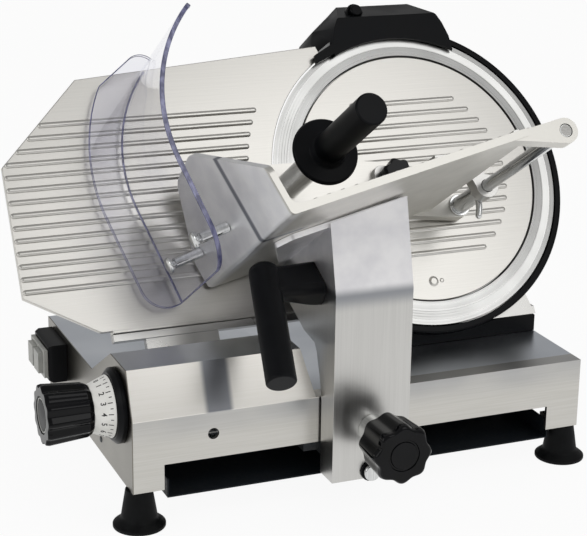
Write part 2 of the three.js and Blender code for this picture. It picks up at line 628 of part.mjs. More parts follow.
// Ring that clamps the blade, with its screws running through the blade
function bladeClamp() {
  const seat = -blade.recess + clearance;
  const face = seat + clamp.thickness;
  const clampRing = turned([
    [clamp.inner, seat], [clamp.outer, seat], [clamp.outer, face], [clamp.inner, face],
  ], roundSides * 2);
  const screws = boltPlaces().map(([u, v]) => bar(clamp.screwRadius, [u, v, -blade.depth + clearance],
    [u, v, face - clearance], smallSides));
  return join(clampRing, ...screws);
}

function bladePulley() {
  const front = -blade.depth - clearance;
  const bore = bearing.outer + clearance;
  const lip = bearing.outer - clearance * 10;
  return turned([
    [lip, front], [drive.flangeRadius, front], [drive.flangeRadius, front - drive.flangeThickness],
    [drive.pulleyRadius, drive.beltFront + clearance], [drive.pulleyRadius, drive.beltBack - clearance],
    [drive.pulleyRadius + drive.grooveDepth, drive.beltBack - drive.grooveDepth],
    [drive.pulleyRadius + drive.grooveDepth, bearing.back],
    [bore, bearing.back], [bore, bearing.front + clearance],
    [lip, bearing.front + clearance],
  ], roundSides * 2);
}

function spindleBearing() {
  return turned([
    [spindle.radius + clearance, bearing.front], [bearing.outer, bearing.front], [bearing.outer, bearing.back],
    [spindle.radius + clearance, bearing.back],
  ]);
}

// Plate that closes the back of the housing, with the hollow spindle standing on it
function spindleCarrier() {
  const front = drive.housingBack - clearance;
  const back = front - drive.carrierThickness;
  const flangeFront = front + spindle.flangeThickness;
  const outline = beltPath(drive.beltThickness + drive.housingGap + drive.housingWall);
  const tube = turned([
    [0, spindle.front], [spindle.radius, spindle.front], [spindle.radius, flangeFront],
    [spindle.flangeRadius, flangeFront], [spindle.flangeRadius, front - clearance], [0, front - clearance],
  ]);
  const rodBore = onBlade(bar(spindle.bore, [0, 0, back - overrun], [0, 0, spindle.front + overrun], smallSides * 2));
  const shaftBore = bar(drive.shaftRadius + clearance * 5, [drive.motorU, drive.motorV, back - overrun],
    [drive.motorU, drive.motorV, front + overrun]);
  return cut(join(slab(outline, back, front), onBlade(tube)), rodBore, shaftBore);
}

function driveBelt() {
  return slab(beltPath(drive.beltThickness), drive.beltBack, drive.beltFront, [beltPath(clearance)]);
}

const motorFace = () => drive.housingBack - drive.carrierThickness - clearance * 2;

function motorPulley() {
  const flange = drive.motorPulleyRadius + drive.beltThickness;
  const profile = [
    [0, drive.beltFront + drive.grooveDepth], [flange, drive.beltFront + drive.grooveDepth],
    [flange, drive.beltFront + clearance], [drive.motorPulleyRadius, drive.beltFront + clearance],
    [drive.motorPulleyRadius, drive.beltBack - clearance], [flange, drive.beltBack - clearance],
    [flange, drive.beltBack - drive.grooveDepth], [drive.shaftRadius, drive.beltBack - drive.grooveDepth],
    [drive.shaftRadius, motorFace() - drive.shaftReach], [0, motorFace() - drive.shaftReach],
  ];
  return turned(profile).translate(drive.motorU, drive.motorV, 0);
}

function motorBody() {
  const front = motorFace();
  const bore = drive.shaftRadius + clearance;
  return turned([
    [bore, front], [motor.radius - motor.bossLength, front], [motor.radius, front - motor.bossLength],
    [motor.radius, front - motor.length], [motor.boss, front - motor.length - motor.bossLength],
    [0, front - motor.length - motor.bossLength], [0, front - drive.shaftReach - clearance],
    [bore, front - drive.shaftReach - clearance],
  ]).translate(drive.motorU, drive.motorV, 0);
}

function motorCasing() {
  const front = drive.housingBack - drive.carrierThickness - clearance * 2;
  const back = front - motorCover.length;
  const outline = (inset) => rounded([
    [motorCover.left + inset, motorCover.low + inset], [motorCover.right - inset, motorCover.low + inset],
    [motorCover.right - inset, motorCover.high - inset], [motorCover.left + inset, motorCover.high - inset],
  ], motorCover.radius - inset);
  const shell = cut(
    slab(outline(0), back, front),
    slab(outline(motorCover.wall), back + motorCover.wall, front + overrun),
  );
  const half = (motorCover.right - motorCover.left) * motorCover.slotShare / 2;
  const slots = Array.from({ length: motorCover.slots }, (_, k) => {
    const v = drive.motorV + (k - (motorCover.slots - 1) / 2) * motorCover.slotPitch;
    return block(drive.motorU - half, drive.motorU + half, v - motorCover.slotWidth / 2, v + motorCover.slotWidth / 2,
      back - overrun, back + motorCover.wall + overrun);
  });
  return cut(shell, ...slots);
}

function bladeCover() {
  const [back, front] = [cover.rise - cover.thickness, cover.rise];
  const rows = Math.floor((coverRadius - cover.ribEdge) * 2 / cover.ribPitch);
  const stopV = cover.stopInset - coverRadius;
  const ribs = Array.from({ length: rows }, (_, k) => {
    const v = ((rows - 1) / 2 - k) * cover.ribPitch;
    const half = Math.sqrt((coverRadius - cover.ribInset) ** 2 - v ** 2);
    return ridge(-half, half, v, cover.ribWidth, cover.ribRise, front);
  });
  const stops = [
    turned([[0, back], [cover.stopRadius, back], [cover.stopRadius, front], [cover.stopRadius / 2, front + cover.stopRise],
      [0, front + cover.stopRise]], smallSides).translate(cover.stopU, stopV, 0),
    turned([[0, back], [cover.stopSmallRadius, back], [cover.stopSmallRadius, front + cover.stopRise / 2],
      [0, front + cover.stopRise / 2]], smallSides).translate(cover.stopU + cover.stopSmallShift, stopV, 0),
  ];
  const disc = turned([[0, back], [coverRadius, back], [coverRadius, front], [0, front]], fineSides);
  const boss = bar(cover.bossRadius, [0, 0, back - cover.bossDepth], [0, 0, back + cover.thickness / 2]);
  return join(disc, boss, ...stops, ...ribs);
}

const knobSeat = () => drive.housingBack - drive.carrierThickness - clearance * 3;

// Knob at the rear with a long threaded rod that runs through the spindle into the cover
function coverReleaseKnob() {
  const shape = { ...coverKnob, neck: coverKnob.radius - coverKnob.lobeDepth, edge: coverKnob.lobeDepth };
  const knob = lobedKnob(shape).rotateX(Math.PI).translate(0, 0, knobSeat());
  const rod = bar(coverKnob.rodRadius, [0, 0, cover.rise - cover.thickness - cover.bossDepth - clearance],
    [0, 0, knobSeat() - coverKnob.length / 2], smallSides);
  return join(knob, rod);
}

function sliceDeflector() {
  const front = -blade.depth - deflector.gap;
  const high = Math.asin(deflector.high / (blade.radius - deflector.overlap)) / degree;
  const low = Math.asin(deflector.low / (blade.radius - deflector.overlap)) / degree;
  const outline = [
    [stand.left - clearance, deflector.low], [stand.left - clearance, deflector.high],
    ...arc((blade.radius - deflector.overlap), 180 - high, 180 - low, 14),
  ];
  return slab(outline, front - deflector.thickness, front);
}

// Gauge plate and its thickness control
const gaugeRodPlaces = [gauge.webLeft + gauge.rodInset, gauge.webRight - gauge.rodInset];

function gaugePlate() {
  const edge = blade.radius + gauge.gap;
  const startAngle = 180 - Math.asin((blade.radius - gauge.endDrop) / edge) / degree;
  const endAngle = 180 - Math.asin((gauge.lowV - bladeLift) / edge) / degree;
  const outline = [
    [gauge.topLeftU, gauge.topLeftV], [gauge.sideU, gauge.sideTopV], [gauge.sideU, gauge.sideLowV],
    [gauge.lowU, gauge.lowV], ...arc(edge, endAngle, startAngle, 30, 0, bladeLift),
    [gauge.topRightU, bladeLift + blade.radius - gauge.topRightDrop],
  ];
  const lean = Math.abs((gauge.lowU - gauge.sideU) / (gauge.lowV - gauge.sideLowV));
  const topLean = (gauge.topLeftU - gauge.sideU) / (gauge.topLeftV - gauge.sideTopV);
  const ribs = Array.from({ length: gauge.ribs }, (_, k) => {
    const v = gauge.firstRibV - k * gauge.ribPitch;
    const over = Math.max(0, v - gauge.sideTopV) * topLean + Math.max(0, gauge.sideLowV - v) * lean;
    const end = -Math.sqrt((blade.radius + gauge.ribMargin) ** 2 - (v - bladeLift) ** 2);
    return ridge(gauge.sideU + over + gauge.ribInset, end, v, gauge.ribWidth, gauge.ribRise, 0);
  });
  const lip = block(gauge.railLeft, gauge.railRight, gauge.lowV - gauge.lipHeight / 2, gauge.lowV + gauge.lipHeight / 2,
    -gauge.lipDepth, 0);
  return join(slab(outline, -gauge.thickness, 0), lip, ...ribs);
}

function gaugeBracket() {
  const top = gauge.lowV - gauge.lipHeight / 2 - clearance;
  const railBar = block(gauge.railLeft, gauge.railRight, top - gauge.railHeight, top, gauge.railBack, gauge.railFront);
  const web = block(gauge.webLeft, gauge.webRight, gauge.webLow - overrun, top - gauge.railHeight / 2,
    gauge.webBack, gauge.webFront);
  const slider = block(gauge.webLeft, gauge.webRight, gauge.blockLow, gauge.webLow, gauge.blockBack, gauge.blockFront);
  const axisPoint = new THREE.Vector3(base.left, dial.y, dial.z).applyMatrix4(planeMatrix.clone().invert());
  const rollerW = axisPoint.z - dial.camRadius - dial.rollerRadius - dial.rollerGap;
  const camU = dial.camX - plane.x;
  const arm = block(camU - overrun, gauge.webLeft + overrun, axisPoint.y - dial.rollerRadius,
    axisPoint.y + dial.rollerRadius * 2, gauge.blockBack, rollerW);
  const link = block(gauge.webLeft - overrun, gauge.webLeft + overrun, axisPoint.y - dial.rollerRadius,
    gauge.webLow, gauge.blockBack, gauge.blockFront);
  const roller = bar(dial.rollerRadius, [camU - overrun, axisPoint.y, rollerW],
    [gauge.webLeft + overrun, axisPoint.y, rollerW], smallSides);
  const bores = gaugeRodPlaces.map((u) => bar(gauge.rodRadius + clearance, [u, gauge.rodV, gauge.blockBack - overrun],
    [u, gauge.rodV, gauge.blockFront + overrun], smallSides));
  return cut(join(railBar, web, slider, arm, link, roller), ...bores);
}

function gaugeRod(u) {
  return bar(gauge.rodRadius, [u, gauge.rodV, gauge.rodBack + clearance * 3],
    [u, gauge.rodV, gauge.rodFront - clearance * 3], smallSides);
}

const alongMinusX = (geometry, x) => geometry.clone().rotateY(-Math.PI / 2).translate(x, dial.y, dial.z);

function dialRing() {
  return alongMinusX(turned([
    [dial.ringBore, 0], [dial.ringRadius, 0], [dial.ringRadius, dial.ringLength / 2],
    [dial.ringRadius - dial.ringLength / 2, dial.ringLength], [dial.ringBore, dial.ringLength],
  ]), base.left - clearance);
}

const scaleFace = () => base.left - dial.ringLength - clearance * 2;

function dialScale() {
  return alongMinusX(turned([
    [dial.shaftRadius + clearance, 0], [dial.scaleLargeRadius, 0], [dial.scaleSmallRadius, dial.scaleLength],
    [dial.shaftRadius + clearance, dial.scaleLength],
  ], fineSides), scaleFace());
}

function dialKnob() {
  const knob = lobedKnob({
    radius: dial.knobRadius, neck: dial.knobNeck, lobes: dial.knobLobes, lobeDepth: dial.knobLobeDepth,
    length: dial.knobLength, edge: dial.knobEdge,
  });
  const recess = bar(dial.capRadius, [0, 0, dial.knobLength - dial.capDepth], [0, 0, dial.knobLength + overrun]);
  const bore = bar(dial.shaftRadius + clearance, [0, 0, -overrun], [0, 0, dial.knobLength / 2]);
  return alongMinusX(cut(knob, recess, bore), scaleFace() - dial.scaleLength - clearance);
}

// Shaft with a snail cam whose radius grows evenly with the turn, so the follower moves in step with the dial
function dialCamshaft() {
  const steps = 44;
  const away = new THREE.Vector2(Math.cos(plane.tiltAngle * degree), -Math.sin(plane.tiltAngle * degree)).angle();
  const turn = dial.camTurnAngle * degree;
  const spiral = Array.from({ length: steps + 1 }, (_, k) => {
    const share = k / steps;
    const radius = dial.camRadius + gauge.travel * share;
    const angle = away + turn * share;
    return [dial.y + radius * Math.cos(angle), dial.z + radius * Math.sin(angle)];
  });
  const restAngle = away - (2 * Math.PI - turn) / 2;
  const relief = [dial.y + dial.camRadius * Math.cos(restAngle), dial.z + dial.camRadius * Math.sin(restAngle)];
  const cam = slabAlongX([...spiral, relief], dial.camX - dial.camThickness / 2, dial.camX + dial.camThickness / 2);
  const outer = scaleFace() - dial.scaleLength - clearance - dial.knobLength / 2 + clearance;
  return join(cam, bar(dial.shaftRadius, [outer, dial.y, dial.z], [dial.shaftEnd, dial.y, dial.z]));
}

// Switch on the left side
const switchFace = () => base.left - clearance - switchBox.projection;
const buttonPlaces = () => {
  const middle = switchFront + switchBox.depth / 2;
  const reach = (switchBox.buttonDepth + switchBox.buttonGap) / 2;
  return [middle - reach, middle + reach];
};

function buttonBlock(y, reach, low, high) {
  const z = switchBox.low + switchBox.height / 2;
  return block(low, high, y - switchBox.buttonDepth / 2 - reach, y + switchBox.buttonDepth / 2 + reach,
    z - switchBox.buttonHeight / 2 - reach, z + switchBox.buttonHeight / 2 + reach);
}

function switchHousing() {
  const [low, high] = [switchBox.low, switchBox.low + switchBox.height];
  const [front, rear] = [switchFront, switchFront + switchBox.depth];
  const rect = (x, inset) => [
    [x, front + inset, low + inset], [x, rear - inset, low + inset],
    [x, rear - inset, high - inset], [x, front + inset, high - inset],
  ];
  const body = lofted([
    rect(base.left - clearance, 0), rect(switchFace() + switchBox.chamfer, 0), rect(switchFace(), switchBox.chamfer / 2),
  ]);
  const pockets = buttonPlaces().map((y) =>
    buttonBlock(y, switchBox.windowGap, switchFace() - overrun, switchFace() + switchBox.pocketDepth));
  return cut(body, ...pockets);
}

function switchBezel() {
  const face = switchFace() - clearance;
  const inset = switchBox.bezelInset;
  const frame = block(face - switchBox.bezelThickness, face, switchFront + inset / 2,
    switchFront + switchBox.depth - inset / 2, switchBox.low + inset, switchBox.low + switchBox.height - inset);
  const windows = buttonPlaces().map((y) =>
    buttonBlock(y, switchBox.windowGap, face - switchBox.bezelThickness - overrun, face + overrun));
  return cut(frame, ...windows);
}

function switchButton(y) {
  const outer = switchFace() - clearance - switchBox.bezelThickness - switchBox.buttonRise;
  return buttonBlock(y, 0, outer, switchFace() + switchBox.buttonReach);
}

function cordGland() {
  return turned([
    [gland.bore, 0], [gland.bodyRadius, 0], [gland.bodyRadius, gland.bodyLength],
    [gland.neckRadius, gland.bodyLength],
    [gland.neckRadius - clearance * 5, gland.bodyLength + gland.neckLength],
    [gland.bore, gland.bodyLength + gland.neckLength],
  ]).rotateX(-Math.PI / 2).translate(gland.x, base.depth + clearance, gland.z);
}

// Carriage
function underTable() {
  return inMachine(onTable(block(-tray.length, tray.length * 2, -padPlate.thickness / 2, tray.length,
    -tray.front, tray.front * 2)));
}

function carriageArm() {
  const [left, right] = [carriage.centre - carriage.halfWidth, carriage.centre + carriage.halfWidth];
  const top = plane.z * carriage.topShare;
  const shift = (top - carriage.bendHeight) * Math.tan(carriage.leanAngle * degree);
  const inner = carriage.front + carriage.wall;
  const face = slabAlongX([
    [carriage.front, carriage.low], [inner, carriage.low], [inner, carriage.bendHeight], [inner + shift, top],
    [carriage.front + shift, top], [carriage.front, carriage.bendHeight],
  ], left, right);
  const flange = [
    [carriage.front, carriage.low], [carriage.sideRear, carriage.low], ...carriage.sideEdge,
    [carriage.sideEdge[carriage.sideEdge.length - 1][0], top], [carriage.front + shift, top],
    [carriage.front, carriage.bendHeight],
  ];
  const sides = [left, right - carriage.wall].map((x) => slabAlongX(flange, x, x + carriage.wall));
  const slot = block(carriage.centre - carriage.slotWidth / 2, carriage.centre + carriage.slotWidth / 2,
    carriage.front - overrun, inner + overrun, carriage.low - overrun, carriage.slotTop);
  const studHole = bar(armKnob.studRadius + clearance, [carriage.centre, carriage.front - overrun, armKnob.z],
    [carriage.centre, inner + overrun, armKnob.z]);
  const pad = inMachine(onTable(slabAlongY(rounded([
    [padPlate.left, padPlate.leftFront], [padPlate.rearLeft, padPlate.rear], [padPlate.right, padPlate.rear],
    [padPlate.right, padPlate.front], [padPlate.left + padPlate.chamfer, padPlate.front],
  ], padPlate.thickness), -padPlate.thickness - clearance, -clearance)));
  return join(cut(join(face, ...sides), underTable(), slot, studHole), pad);
}

function carriageBracket() {
  const [left, right] = [carriage.centre - carriage.stemHalfWidth, carriage.centre + carriage.stemHalfWidth];
  const stem = block(left, right, carriage.stemFront, carriage.stemRear, carriage.low, carriage.stemTop);
  const tongue = block(carriage.centre - carriage.tongueHalfWidth, carriage.centre + carriage.tongueHalfWidth,
    carriage.stemRear - overrun, carriage.blockFront + overrun, carriage.tongueLow, carriage.tongueHigh);
  const [from, to] = [carriage.centre - carriage.blockHalfLength, carriage.centre + carriage.blockHalfLength];
  const bearingBlock = block(from, to, carriage.blockFront, carriage.blockRear, carriage.blockLow, carriage.blockHigh);
  const half = rail.barWidth / 2 + clearance;
  const bore = bar(rail.radius + clearance, [from - overrun, rail.y, rail.z], [to + overrun, rail.y, rail.z]);
  const channel = block(from - overrun, to + overrun, rail.barY - half, rail.barY + half,
    carriage.blockLow - overrun, rail.z + half);
  const studHole = bar(armKnob.studRadius + clearance, [carriage.centre, carriage.stemFront - overrun, armKnob.z],
    [carriage.centre, carriage.stemRear - overrun, armKnob.z]);
  const pinHole = bar(carriage.pinRadius + clearance, [carriage.centre, carriage.stemFront - overrun, carriage.pinZ],
    [carriage.centre, carriage.stemRear - overrun, carriage.pinZ]);
  return cut(join(stem, tongue, bearingBlock), bore, channel, studHole, pinHole);
}

const alongMinusY = (geometry, y, z) => geometry.clone().rotateX(Math.PI / 2).translate(carriage.centre, y, z);
const pinBack = () => carriage.front - carriage.stemRear + overrun * 2;

function armPin() {
  const [seat, face] = [carriage.washerThickness + clearance, carriage.washerThickness + carriage.pinHeadLength];
  return alongMinusY(turned([
    [0, pinBack()], [carriage.pinRadius, pinBack()], [carriage.pinRadius, seat], [carriage.pinHead, seat],
    [carriage.pinHead, face - carriage.pinEdge], [carriage.pinHead - carriage.pinEdge, face], [0, face],
  ]), carriage.front - clearance, carriage.pinZ);
}

function armWasher() {
  return alongMinusY(turned([
    [carriage.pinRadius + clearance, 0], [carriage.washerRadius, 0], [carriage.washerRadius, carriage.washerThickness],
    [carriage.pinRadius + clearance, carriage.washerThickness],
  ]), carriage.front - clearance, carriage.pinZ);
}

function knobStud() {
  const end = armKnob.bossLength + armKnob.length / 2;
  return alongMinusY(turned([
    [0, pinBack()], [armKnob.studRadius, pinBack()], [armKnob.studRadius, 0], [armKnob.bossRadius, 0],
    [armKnob.bossRadius, armKnob.bossLength], [armKnob.studRadius, armKnob.bossLength], [armKnob.studRadius, end],
    [0, end],
  ]), carriage.front - clearance, armKnob.z);
}

function columnKnob() {
  const [floor, face] = [armKnob.length - armKnob.recessDepth, armKnob.length + overrun];
  const groove = turned([
    [armKnob.recessRadius - armKnob.recessDepth, floor], [armKnob.recessRadius + armKnob.recessDepth, floor],
    [armKnob.recessRadius + armKnob.recessDepth, face], [armKnob.recessRadius - armKnob.recessDepth, face],
  ]);
  const bore = bar(armKnob.studRadius + clearance, [0, 0, -overrun], [0, 0, armKnob.length / 2 + clearance]);
  return alongMinusY(cut(lobedKnob(armKnob), groove, bore),
    carriage.front - clearance * 2 - armKnob.bossLength, armKnob.z);
}

// Food tray
const wallMatrix = () => {
  const [across, up] = [Math.sin(tray.wallAngle * degree), Math.cos(tray.wallAngle * degree)];
  return new THREE.Matrix4().makeBasis(
    new THREE.Vector3(0, 0, 1), new THREE.Vector3(-across, up, 0), new THREE.Vector3(-up, -across, 0),
  ).setPosition(tray.cornerU, tray.cornerV, 0);
};

function trayProfile() {
  const lean = (90 + tray.wallAngle - tray.slopeAngle) * degree;
  const along = new THREE.Vector2(Math.cos(lean), Math.sin(lean));
  const inward = new THREE.Vector2(along.y, -along.x);
  const rise = (tray.thickness - inward.y * tray.wallThickness) / along.y;
  const corner = inward.clone().multiplyScalar(tray.wallThickness).add(along.clone().multiplyScalar(rise));
  const outerTop = along.clone().multiplyScalar(tray.peakHeight + overrun);
  const innerTop = outerTop.clone().add(inward.clone().multiplyScalar(tray.wallThickness));
  return rounded([
    [0, 0], [tray.length + overrun, 0], [tray.length + overrun, tray.thickness], [corner.x, corner.y],
    [innerTop.x, innerTop.y],
    [outerTop.x, outerTop.y],
  ], [tray.innerRadius / 2, 0, 0, tray.innerRadius, 0, 0]);
}

function foodTray() {
  const bent = onTable(slab(trayProfile(), tray.back - overrun, tray.front + overrun));
  const wallZone = slab(rounded([
    [tray.back, -tray.thickness * 2], [tray.front, -tray.thickness * 2], [tray.front, tray.frontHeight],
    [tray.peakW, tray.peakHeight], [tray.kneeW, tray.kneeHeight], [tray.back, tray.backHeight],
  ], [0, 0, tray.frontRadius, tray.peakRadius, tray.kneeRadius, tray.frontRadius]),
  -tray.cornerRadius * 2, tray.thickness).applyMatrix4(wallMatrix());
  const floorZone = onTable(slabAlongY(rounded([
    [tray.cornerRadius, tray.back], [tray.length, tray.back], [tray.length, tray.front],
    [tray.cornerRadius, tray.front],
  ], [0, tray.frontRadius, tray.frontRadius, 0]), -tray.thickness, tray.thickness * 2));
  const ribFrame = new THREE.Matrix4().makeBasis(
    new THREE.Vector3(0, 0, 1), new THREE.Vector3(1, 0, 0), new THREE.Vector3(0, 1, 0),
  );
  const ribCount = placesAlong(tray.ribStart, tray.ribMargin, tray.ribPitch);
  const ribs = Array.from({ length: ribCount }, (_, k) => onTable(
    ridge(tray.back + tray.ribWidth, tray.front - tray.ribWidth, tray.ribStart + k * tray.ribPitch,
      tray.ribWidth, tray.ribRise, tray.thickness).applyMatrix4(ribFrame),
  ));
  const rod = new THREE.Vector3(rodAxis.x, rodAxis.y, 0).applyMatrix4(tableMatrix.clone().invert());
  const lugOutline = [
    [tray.length - tray.lugReach, tray.lugInset], ...arc(tray.lugRadius, -105, 90, 12, rod.x, rod.y),
    [tray.length - tray.lugReach, tray.thickness - tray.lugInset],
  ];
  const lugs = [tray.back + tray.lugInset, tray.front - tray.lugInset - tray.lugThickness]
    .map((w) => onTable(slab(lugOutline, w, w + tray.lugThickness)));
  const rodBore = bar(pusherRod.radius + clearance, [rodAxis.x, rodAxis.y, tray.back + clearance],
    [rodAxis.x, rodAxis.y, tray.front + overrun]);
  const stripHoles = stripScrewPlaces().map((w) => onTable(bar(strip.shank + clearance,
    [stripMiddle, tray.thickness + overrun, w], [stripMiddle, tray.thickness / 2 - clearance, w], smallSides)));
  const guardHoles = guardScrewPlaces().map((w) => bar(guard.screwRadius + clearance,
    guardLine(w, -guard.sleeve - clearance), guardLine(w, 0), smallSides));
  return cut(join(common(bent, join(wallZone, floorZone)), ...ribs, ...lugs), rodBore, ...stripHoles, ...guardHoles);
}

// How many places at a pitch fit along the tray between two margins
function placesAlong(from, margin, pitch) {
  return Math.floor((tray.length - from - margin) / pitch) + 1;
}

function pusherRodBar() {
  return bar(pusherRod.radius, [rodAxis.x, rodAxis.y, tray.back + clearance * 2],
    [rodAxis.x, rodAxis.y, tray.front - clearance * 3]);
}

const stripMiddle = tray.length - strip.inset - strip.width / 2;
const stripScrewPlaces = () => [strip.from + strip.screwInset, strip.to - strip.screwInset];

// Guide strip beside the rod, with the heads of its two screws
function rodStrip() {
  const low = tray.thickness + clearance;
  const top = low + strip.height;
  const body = block(stripMiddle - strip.width / 2, stripMiddle + strip.width / 2, low, top, strip.from, strip.to);
  const screws = stripScrewPlaces().flatMap((w) => [
    bar(strip.screwRadius, [stripMiddle, top - clearance, w], [stripMiddle, top + strip.screwRise, w], smallSides),
    bar(strip.shank, [stripMiddle, tray.thickness / 2, w], [stripMiddle, top, w], smallSides),
  ]);
  return onTable(join(body, ...screws));
}

// Guard, its screws and the push handle
const guardBend = () => {
  const lean = guard.leanAngle * degree;
  return {
    u: guard.startU - guard.straight * Math.sin(lean) + guard.bendRadius * Math.cos(lean),
    v: guard.startV + guard.straight * Math.cos(lean) + guard.bendRadius * Math.sin(lean),
  };
};

// A point on the axis of a guard screw, at a distance outside the guard's inner face
function guardLine(w, distance) {
  const lean = guard.leanAngle * degree;
  const u = guard.startU - (guard.screwV - guard.startV) * Math.tan(lean);
  return [u - distance * Math.cos(lean), guard.screwV - distance * Math.sin(lean), w];
}

const guardScrewPlaces = () => [guard.screwW, guard.screwW - guard.screwSpacing];
const guardLength = () => guard.straight + guard.bendRadius * guard.bendAngle * degree;

// A point beside the guard's section, at a distance up along its inner face
function besideGuard(along, outward) {
  const lean = guard.leanAngle * degree;
  if (along <= guard.straight) {
    return [guard.startU - along * Math.sin(lean) - outward * Math.cos(lean),
      guard.startV + along * Math.cos(lean) - outward * Math.sin(lean)];
  }
  const bend = guardBend();
  const angle = Math.PI + lean - (along - guard.straight) / guard.bendRadius;
  const reach = guard.bendRadius + outward;
  return [bend.u + reach * Math.cos(angle), bend.v + reach * Math.sin(angle)];
}

// How far the guard reaches forwards at a distance up its section: both front corners are round
function guardFront(along) {
  if (along < guard.frontRound) {
    return guard.front - guard.frontRound + Math.sqrt(guard.frontRound ** 2 - (guard.frontRound - along) ** 2);
  }
  const over = Math.max(0, along - guardLength() + guard.topRound);
  return guard.front - guard.topRound + Math.sqrt(Math.max(0, guard.topRound ** 2 - over ** 2));
}

function clearGuard() {
  const total = guardLength();
  const quarter = (k, count) => (k / count) * (Math.PI / 2);
  const stations = [
    ...Array.from({ length: guard.cornerSteps }, (_, k) =>
      guard.frontRound * (1 - Math.cos(quarter(k, guard.cornerSteps)))),
    ...Array.from({ length: guard.curveSteps + 1 }, (_, k) =>
      guard.straight + ((total - guard.straight - guard.topRound) * k) / guard.curveSteps),
    ...Array.from({ length: guard.cornerSteps }, (_, k) =>
      total - guard.topRound * (1 - Math.sin(quarter(k + 1, guard.cornerSteps)))),
  ];
  const wall = lofted(stations.map((along) => {
    const [near, far] = [besideGuard(along, 0), besideGuard(along, guard.thickness)];
    const front = guardFront(along);
    return [[...near, guard.back], [...near, front], [...far, front], [...far, guard.back]];
  }));
  const bend = guardBend();
  const rim = arc(guard.bendRadius + guard.flangeWidth, guard.flangeAngle, 180 + guard.leanAngle,
    guard.curveSteps, bend.u, bend.v);
  const corners = rounded([
    rim[rim.length - 1], besideGuard(0, guard.flangeWidth), besideGuard(0, guard.thickness / 2),
  ], [0, guard.cornerRadius, 0]);
  const crest = rounded([
    besideGuard(total, guard.thickness / 2), besideGuard(total, guard.flangeWidth - guard.topRadius), rim[0],
  ], [0, guard.topRadius, 0]);
  const inner = stations.slice(1, -1).map((along) => besideGuard(along, guard.thickness / 2));
  const flange = slab([...crest, ...rim.slice(1, -1), ...corners, ...inner], guard.back, guard.back + guard.thickness);
  const holes = guardScrewPlaces().map((w) =>
    bar(guard.holeRadius, guardLine(w, -overrun), guardLine(w, guard.thickness + overrun), smallSides));
  return cut(join(wall, flange), ...holes);
}

// Shoulder screw that holds the guard off the tray's end wall
function guardScrew(w) {
  const face = guard.thickness + clearance;
  const wallBlock = block(-tray.front, tray.front * 2, -tray.peakHeight, tray.peakHeight, -tray.front, clearance)
    .applyMatrix4(wallMatrix());
  return join(
    bar(guard.headRadius, guardLine(w, face), guardLine(w, face + guard.headHeight), roundSides,
      guard.headRadius - guard.headRound),
    bar(guard.screwRadius, guardLine(w, -guard.sleeve), guardLine(w, face + guard.headHeight / 2), smallSides),
    cut(bar(guard.sleeveRadius, guardLine(w, -guard.sleeve), guardLine(w, -clearance), smallSides * 2), wallBlock),
  );
}

function pushHandle() {
  const start = new THREE.Vector3(handle.u, handle.top, handle.w);
  const axis = new THREE.Vector3(handle.lowU, handle.low, handle.lowW).sub(start);
  const length = axis.length();
  const lean = axis.clone().divideScalar(-axis.y);
  const grip = turned([
    [0, -handle.radius / 2], [handle.radius - handle.endRound / 2, -handle.radius / 2], [handle.radius, 0],
    [handle.radius, length - handle.endRound],
    [handle.radius - handle.endRound / 3, length - handle.endRound / 3],
    [handle.radius - handle.endRound, length], [0, length],
  ]).applyQuaternion(new THREE.Quaternion().setFromUnitVectors(new THREE.Vector3(0, 0, 1), axis.normalize()))
    .translate(start.x, start.y, start.z);
  const rootU = carriage.centre - carriage.halfWidth - clearance - plane.x;
  const root = [
    [rootU, handle.rootFrontV, handle.rootFrontW], [rootU, handle.rootTopV, handle.rootTopW],
    [rootU, handle.rootBackV, handle.rootBackW], [rootU, handle.rootLowV, handle.rootLowW],
  ];
  const [high, low] = [handle.endTopV, handle.endTopV - handle.endHeight];
  const [near, far] = [handle.w + handle.endDepth, handle.w - handle.endDepth];
  const end = [[low, near], [high, near], [high, far], [low, far]].map(([v, w]) =>
    [handle.u + lean.x * (handle.top - v), v, w + lean.z * (handle.top - v)]);
  return join(grip, lofted([root, end]));
}

// Pusher
function pusherSleeve() {
  const front = pusher.eyeBack - clearance;
  const bore = pusherRod.radius + clearance;
  const collarBack = pusher.sleeveBack + pusher.collarLength;
  const tube = turned([
    [bore, pusher.sleeveBack], [pusher.collarRadius, pusher.sleeveBack], [pusher.collarRadius, collarBack],
    [pusher.sleeveRadius, collarBack], [pusher.sleeveRadius, front - pusher.collarLength],
    [pusher.collarRadius, front - pusher.collarLength], [pusher.collarRadius, front], [bore, front],
  ]).translate(rodAxis.x, rodAxis.y, 0);
  const pin = bar(pusher.pinRadius, [rodAxis.x, rodAxis.y - bore - clearance, pusher.pinW],
    [besideRod(pusher.pinU), rodAxis.y - pusher.sleeveRadius - pusher.pinLength, pusher.pinW], smallSides);
  return join(tube, pin);
}

const armBack = () => pusher.plateBack + pusher.plateThickness + clearance;

